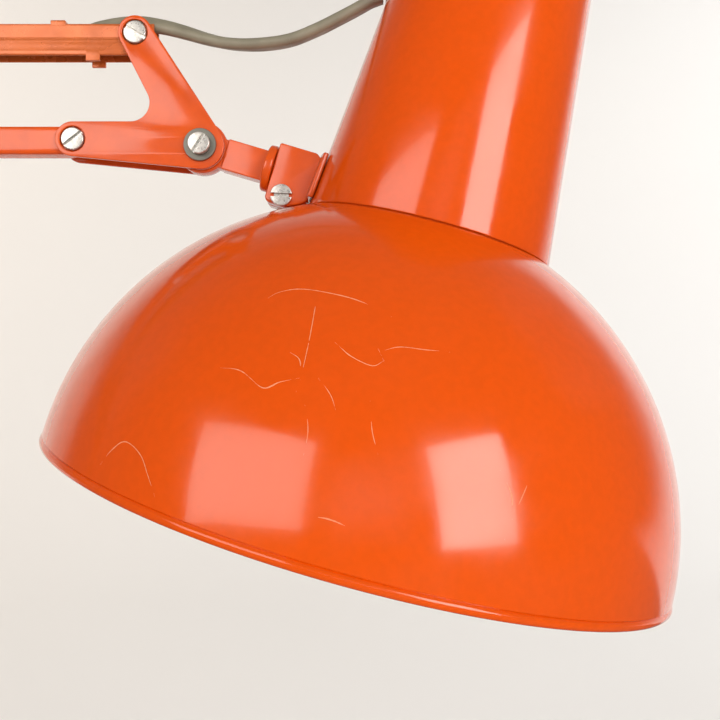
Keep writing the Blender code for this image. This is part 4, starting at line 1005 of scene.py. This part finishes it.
smoothed = add(wire_tree, "GeometryNodeSetShadeSmooth", {"Geometry": body_of.outputs["Mesh"]})
real = add(wire_tree, "GeometryNodeRealizeInstances", {"Geometry": smoothed.outputs["Geometry"]})
coat = {"Geometry": real.outputs["Geometry"], "Material": source.outputs["Material"]}
coat = add(wire_tree, "GeometryNodeSetMaterial", coat)
add(wire_tree, "NodeGroupOutput", {"Geometry": coat.outputs["Geometry"]})

# %% Springs
WIRE, COIL_R, HOOK_R, LEAD_IN = 1.3 * MM, 4.8 * MM, 2.6 * MM, 12 * MM


def spring_path(start, end, side):
    """A hook round the first pin, a tight helix, and a hook round the second pin."""
    along = (end - start).normalized()
    aside = along.cross(Vector((0, 1, 0)))
    full = (end - start).length
    turns = [math.radians(60 + 300 * k / 16) for k in range(17)]
    hook = [(HOOK_R * math.cos(t), HOOK_R * math.sin(t)) for t in turns]
    first = [start + along * x + aside * z for x, z in hook]
    first.append(start + along * 6 * MM)
    coil_length = full - 2 * LEAD_IN
    count = int(coil_length / (WIRE * 1.06))
    helix = []
    for k in range(count * 14 + 1):
        t = k / (count * 14)
        turn = 2 * math.pi * count * t
        grow = min(1.0, k / 12, (count * 14 - k) / 12)
        out = COIL_R * (0.12 + 0.88 * grow)
        place = start + along * (LEAD_IN + coil_length * t)
        helix.append(place + (aside * math.cos(turn) + Vector((0, 1, 0)) * math.sin(turn)) * out)
    last = [end - along * x - aside * z for x, z in hook]
    return [p + Vector((0, side, 0)) for p in first + helix + [end - along * 6 * MM] + last[::-1]]


springs = [("lower", lower_anchor, lower_pin, "turret", "lower_channel")]
springs += [("upper", upper_anchor, upper_pin, "elbow", "upper_channel")]
for name, start, end, one, two in springs:
    for side, y in (("front", -14 * MM), ("rear", 14 * MM)):
        path = spring_path(start, end, y)
        edges = bpy.data.meshes.new("path")
        edges.from_pydata(path, [(k, k + 1) for k in range(len(path) - 1)], [])
        made = bpy.data.objects.new(f"{name}_spring_{side}_wound", edges)
        bpy.context.scene.collection.objects.link(made)
        through_tree(made, wire_tree, {"Thickness": WIRE, "Sides": 10, "Material": wire})
        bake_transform(made)
        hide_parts(f"{name}_spring_{side}")
        print(made.name, len(made.data.polygons), "faces")

# %% [markdown]
# ## The base
# A pressed cover hides a cast-iron weight, with felt underneath so that it can't mark a desk. A plastic
# bushing in the middle carries the turret, a stub post on a broad flange that lets the whole arm turn. The
# cord leaves at the back through a strain relief, a soft taper that keeps it from kinking at the hole.

# %% Cover, felt, bushing and turret
centre = Matrix.Identity(4)
BASE_R, BASE_TOP, COVER_FOOT = 105 * MM, 30 * MM, 2.2 * MM
shell_corner, shell = (96 * MM, 14 * MM), 1.5 * MM
cover = [(BASE_R, COVER_FOOT)] + arc(shell_corner, 9 * MM, 0, 78, 5)
cover += [(60 * MM, 26.8 * MM), (34 * MM, 29.4 * MM), (12.3 * MM, BASE_TOP)]
cover += [(12.3 * MM, BASE_TOP - shell), (34 * MM, 29.4 * MM - shell), (60 * MM, 26.8 * MM - shell)]
cover += arc(shell_corner, 9 * MM - shell, 78, 0, 5) + [(BASE_R - shell, COVER_FOOT)]
cover = turned("cover", rounded(cover, 0.6 * MM, 3), centre, gloss, 192)
outlet = Vector((-BASE_R, 0, 8.5 * MM))
backwards = Matrix.Translation(outlet) @ Matrix.Rotation(math.radians(-90), 4, "Y")  # Z points to -X
tool = turned("outlet", drill_line(3.9 * MM), backwards, gloss, 48)
carved(cover, "DIFFERENCE", tool)
cover.data.set_sharp_from_angle(angle=math.radians(32))
settle(cover, "base", "orange_enamel", "base_cover")

pad = rounded([(0, 0), (103 * MM, 0), (103 * MM, 2 * MM), (0, 2 * MM)], 0.5 * MM, 3, closed=False)
settle(turned("felt_pad", pad, centre, felt, 128), "base", "felt", "base_felt")
casting = [(12.3, 2.3), (99.5, 2.3), (99.5, 12.5), (93.5, 18.5), (12.3, 18.5)]
casting = rounded([(r * MM, z * MM) for r, z in casting], 1.5 * MM, 3)
settle(turned("weight_casting", casting, centre, iron, 96), "base", "cast_iron", "base_weight")
ring = [(6.3, 2.3), (12, 2.3), (12, 30.3), (15, 30.3), (15, 32.8), (6.3, 32.8)]
ring = rounded([(r * MM, z * MM) for r, z in ring], 0.5 * MM, 3)
settle(turned("bushing", ring, centre, plastic, 96), "base", "black_plastic", "base_bushing")

stem = [(0, 10), (6, 10), (6, 33.1), (24, 33.1), (24, 36.5), (0, 36.5)]
stem = rounded([(r * MM, z * MM) for r, z in stem], 0.9 * MM, 4, closed=False)
spindle = turned("turret", stem, centre, satin, 128)
post = block("post", (-13 * MM, -half, 35.5 * MM), (13 * MM, half, 64.5 * MM), centre, satin, 0.6 * MM)
carved(spindle, "UNION", post)
cross = [(0, -0.01), (SHANK_HOLE, -0.01), (SHANK_HOLE, 0.01), (0, 0.01)]
carved(spindle, "DIFFERENCE", turned("drill", cross, Matrix.Translation(foot) @ upright, satin, 32))
spindle.data.set_sharp_from_angle(angle=math.radians(38))
settle(spindle, "turret", "orange_satin", "turret_spindle")
bolt = slotted_bolt("yoke_foot_slotted", foot, PLATE_OUT + GAP, HEAD_R, 1.8 * MM, -7.5 * MM, -10)
settle(bolt, "turret", "zinc_steel", "yoke_screw_foot")
sleeve = [(0, 0), (4.2 * MM, 0), (3.6 * MM, 4 * MM), (0, 4 * MM)]
where = Matrix.Translation((-17.5 * MM, 0, 36.8 * MM))
sleeve = turned("turret_sleeve", rounded(sleeve, 0.6 * MM, 4, closed=False), where, plastic, 64)
settle(sleeve, "turret", "black_plastic", "turret_grommet")

# %% Strain relief: a taper with soft ribs
ribs = [(0, -2.8), (3.6, -2.8), (3.6, 0.3), (5.8, 0.3), (5.6, 3.0)]
for k in range(5):
    at, size = 4.6 + 3.4 * k, 5.0 - 0.32 * k
    ribs += [(size - 0.8, at), (size - 0.8, at + 0.9), (size, at + 1.1), (size, at + 2.5)]
ribs += [(3.3, 22.0), (0, 22.0)]
ribs = rounded([(r * MM, z * MM) for r, z in ribs], 0.4 * MM, 3, closed=False)
relief = turned("strain_relief", ribs, backwards, plastic, 72)
settle(relief, "base", "black_plastic", "base_grommet")

# %% [markdown]
# ## The plug
# A flat two-pin plug is one moulding over two nickel pins. Its outline narrows from the waist to the cord,
# so that a thumb and a finger can pull it, and grip ribs cross the waist.

# %% Plug
rear = Vector((-0.2105, 0.1435, 0.0))
half_plug = [(0, 3.2), (12, 4.8), (19, 12.5), (34, 13.2), (36, 11.8)]
half_plug = [(x * MM, y * MM) for x, y in half_plug]
plug_line = rounded(half_plug + [(x, -y) for x, y in reversed(half_plug)], 2 * MM, 6)[::-1]
plug = plate("plug_moulding", plug_line, [], 0.0, 13.6 * MM, 1.6 * MM, Matrix.Translation(rear), plastic)
print("plug:", [round(1000 * value, 1) for value in plug.dimensions], "mm")
ribs = []
for k in range(4):
    at = (5.2 + 2.2 * k) * MM
    wide = (3.9 + 0.32 * k) * MM
    low, high = (at, -wide - 0.5 * MM, 3.2 * MM), (at + 1.0 * MM, wide + 0.5 * MM, 10.4 * MM)
    ribs.append(block("rib", low, high, Matrix.Translation(rear), plastic, 0.35 * MM))
carved(plug, "UNION", *ribs)
plug.data.set_sharp_from_angle(angle=math.radians(40))
settle(plug, "base", "black_plastic", "plug")
for side in (-1, 1):
    start = rear + Vector((33 * MM, side * 9.3 * MM, 6.8 * MM))
    line = rounded([(0, 0), (2 * MM, 0), (2 * MM, 22 * MM), (0, 22 * MM)], 1.2 * MM, 5, closed=False)
    where = Matrix.Translation(start) @ Matrix.Rotation(math.radians(90), 4, "Y")
    pin = turned("plug_pin_" + ("near" if side < 0 else "far"), line, where, nickel, 48)
    settle(pin, "base", "black_plastic")

# %% [markdown]
# ## Scratches
# The dome has been knocked and dragged about, and a few long scrapes go through the gloss to the primer.
# Each scrape is a thin ribbon that lies on the paint along its own path and is thin at its ends.


# %% Scrapes on the dome
def on_dome(azimuth, elevation, out=0.0):
    """A point on the dome: azimuth from the shade's own X, elevation as the ellipse's angle."""
    a, e = math.radians(azimuth), math.radians(elevation)
    r, h = (DOME_R + out) * math.cos(e), (DOME_H + out) * math.sin(e)
    return shade @ Vector((r * math.cos(a), r * math.sin(a), h))


scrapes = {
    "upright": (0.32, [(-110.7, 42.0), (-107.2, 34.4), (-105.3, 28.0), (-104.4, 23.5)]),
    "arch": (
        0.40,
        [(-116.2, 34.5), (-114.9, 36.0), (-111.8, 37.4), (-106.3, 38.0), (-100.7, 37.9), (-94.6, 36.6)],
    ),
    "curl": (0.40, [(-116.8, 22.1), (-113.5, 22.5), (-109.2, 21.1), (-107.1, 22.5), (-104.6, 23.8)]),
    "cross": (0.35, [(-107.6, 27.0), (-105.5, 26.0), (-104.3, 21.8)]),
    "hook": (0.38, [(-101.8, 30.2), (-98.8, 28.8), (-95.3, 28.2), (-93.7, 29.5)]),
    "run": (0.34, [(-94.1, 31.0), (-92.0, 32.1), (-88.1, 32.7), (-84.1, 33.4)]),
    "low": (0.42, [(-130.3, 4.1), (-128.9, 6.7), (-126.9, 8.4), (-123.3, 7.6), (-120.8, 5.5), (-118.5, 3.2)]),
    "fork_left": (0.30, [(-74.6, 18.8), (-72.3, 15.4), (-72.5, 10.2)]),
    "fork_right": (0.30, [(-68.5, 22.0), (-70.5, 17.0), (-71.9, 12.9)]),
    "short": (0.28, [(-102.1, 24.5), (-99.6, 22.7), (-98.2, 20.9)]),
    "tick": (0.26, [(-95.2, 31.0), (-93.7, 29.2)]),
    "scuff": (0.55, [(-96.4, 7.4), (-94.9, 7.5), (-92.9, 7.3)]),
    "fall": (0.26, [(-102.5, 20.5), (-100.9, 17.4), (-100.4, 14.2)]),
    "slip": (0.26, [(-94.1, 23.4), (-92.8, 19.7), (-91.2, 16.8)]),
}
middle_of_dome = shade @ Vector((0, 0, 0.02))
flat_section = [(math.cos(math.radians(a)), 0.12 * math.sin(math.radians(a))) for a in range(0, 360, 45)]
draw = random.Random(7)
ribbons = []
for name, (width, spots_on) in scrapes.items():
    route = smooth([on_dome(*spot) for spot in spots_on], 0.45 * MM)
    normals = [(p - middle_of_dome).normalized() for p in route]
    sides_of, sizes = [], []
    for k, p in enumerate(route):
        along = route[min(k + 1, len(route) - 1)] - route[max(k - 1, 0)]
        sides_of.append(along.cross(normals[k]).normalized())
        end = min(k, len(route) - 1 - k) / max(1, len(route) - 1)
        sizes.append(width * MM * 0.38 * (0.15 + 0.85 * min(1, 4 * end)) * draw.uniform(0.6, 1.1))
    ribbons.append(swept("scrape_" + name, route, flat_section, sides_of, primer, sizes, 80))
bpy.ops.object.select_all(action="DESELECT")
for ribbon in ribbons:
    ribbon.select_set(True)
bpy.context.view_layer.objects.active = ribbons[0]
bpy.ops.object.join()
ribbons[0].name = "dome_scrapes"
settle(ribbons[0], "shade", "orange_enamel")
print("scrapes:", len(scrapes))

# %% [markdown]
# ## A studio
# The lamp stands on a plain pale floor that sweeps up into a pale wall behind it. There is no wall on the
# camera's side, so a view from behind shows the floor's edge and the dim world past it. The floor is cut
# along a seam into two sheets, because only the far one should show in the paint's gloss. Two large soft
# lights, one on each side of the camera, give the two bright panes on the dome. The other five are fills:
# one in front, one above and three on the wall, a little warm or cool, and none shows in a reflection.

# %% Sweep
paper = coating("background paper, matt", "#EFEDEA", 0.9)
SEAM = 0.55  # where the near sheet ends: only the far one shows in the lamp's gloss
FLOOR_FRONT, FLOOR_SIDES = -4.0, (-6.0, 6.5)
BEND_R, BEND_START, WALL_Y, WALL_TOP = 0.9, 1.1, 2.0, 4.0
bend = [math.radians(90 * k / 16) for k in range(17)]
far_line = [(BEND_START + BEND_R * math.sin(t), BEND_R - BEND_R * math.cos(t)) for t in bend]
far_line = [(SEAM, 0.0)] + far_line + [(WALL_Y, WALL_TOP)]
sheets = []
for name, line in (("floor_near", [(FLOOR_FRONT, 0.0), (SEAM, 0.0)]), ("sweep_far", far_line)):
    verts = [(x, y, z) for x in FLOOR_SIDES for y, z in line]
    count = len(line)
    mesh = bpy.data.meshes.new(name)
    mesh.from_pydata(verts, [], [(k, k + count, k + count + 1, k + 1) for k in range(count - 1)])
    mesh.polygons.foreach_set("use_smooth", [True] * len(mesh.polygons))
    mesh.materials.append(paper)
    sheets.append(bpy.data.objects.new(name, mesh))
    bpy.context.scene.collection.objects.link(sheets[-1])


# %% Lights
def softbox(name, towards, distance, size, power, tint, aim, spread=180):
    """A rectangular area light in a direction (azimuth from -Y towards +X, elevation) from the dome."""
    azimuth, elevation = (math.radians(value) for value in towards)
    ray = Vector((math.sin(azimuth) * math.cos(elevation), -math.cos(azimuth) * math.cos(elevation),
                  math.sin(elevation)))
    lamp = bpy.data.lights.new(name, "AREA")
    lamp.shape, lamp.size, lamp.size_y, lamp.energy, lamp.color = "RECTANGLE", *size, power, srgb(tint)[:3]
    lamp.spread = math.radians(spread)
    holder = bpy.data.objects.new(name, lamp)
    holder.location = aim + ray * distance
    holder.rotation_euler = (-ray).to_track_quat("-Z", "Y").to_euler()
    bpy.context.scene.collection.objects.link(holder)
    return holder


aim = shade @ Vector((0, -0.08, 0.04))
softbox("left window", (-36, 17), 1.6, (1.15, 0.85), 10.5, "#FFF4EC", aim)
softbox("right window", (40, 12), 1.6, (0.75, 0.95), 15, "#FFF8F2", aim)
fills = [softbox("front fill", (4, 12), 2.0, (0.8, 0.8), 2.0, "#FFFFFF", aim, 70)]
fills.append(softbox("top fill", (20, 75), 2.0, (2.0, 2.0), 4, "#FFFFFF", aim))
backdrop = Vector((0.4, 1.6, 0.4))
WALL_LIGHTS = (("wall, warm side", -35, 14, "#FFF5EA", -1.0), ("wall, far side", -35, 14, "#FFF5EA", -2.8))
WALL_LIGHTS += (("wall, cool side", 35, 22, "#FBFDFF", 1.0),)
for name, azimuth, watts, colour, sideways in WALL_LIGHTS:
    target = backdrop + Vector((sideways, 0, 0))
    fills.append(softbox(name, (azimuth, 45), 1.5, (1.6, 1.2), watts, colour, target))
for quiet in (*fills, sheets[0]):  # these light the lamp but stay out of its reflections
    quiet.visible_glossy = False

world = bpy.data.worlds.new("world")
bpy.context.scene.world = world
world.use_nodes = True
world.node_tree.nodes["Background"].inputs["Color"].default_value = srgb("#F4F2EF")
world.node_tree.nodes["Background"].inputs["Strength"].default_value = 0.13
bpy.context.scene.view_settings.view_transform = "Standard"
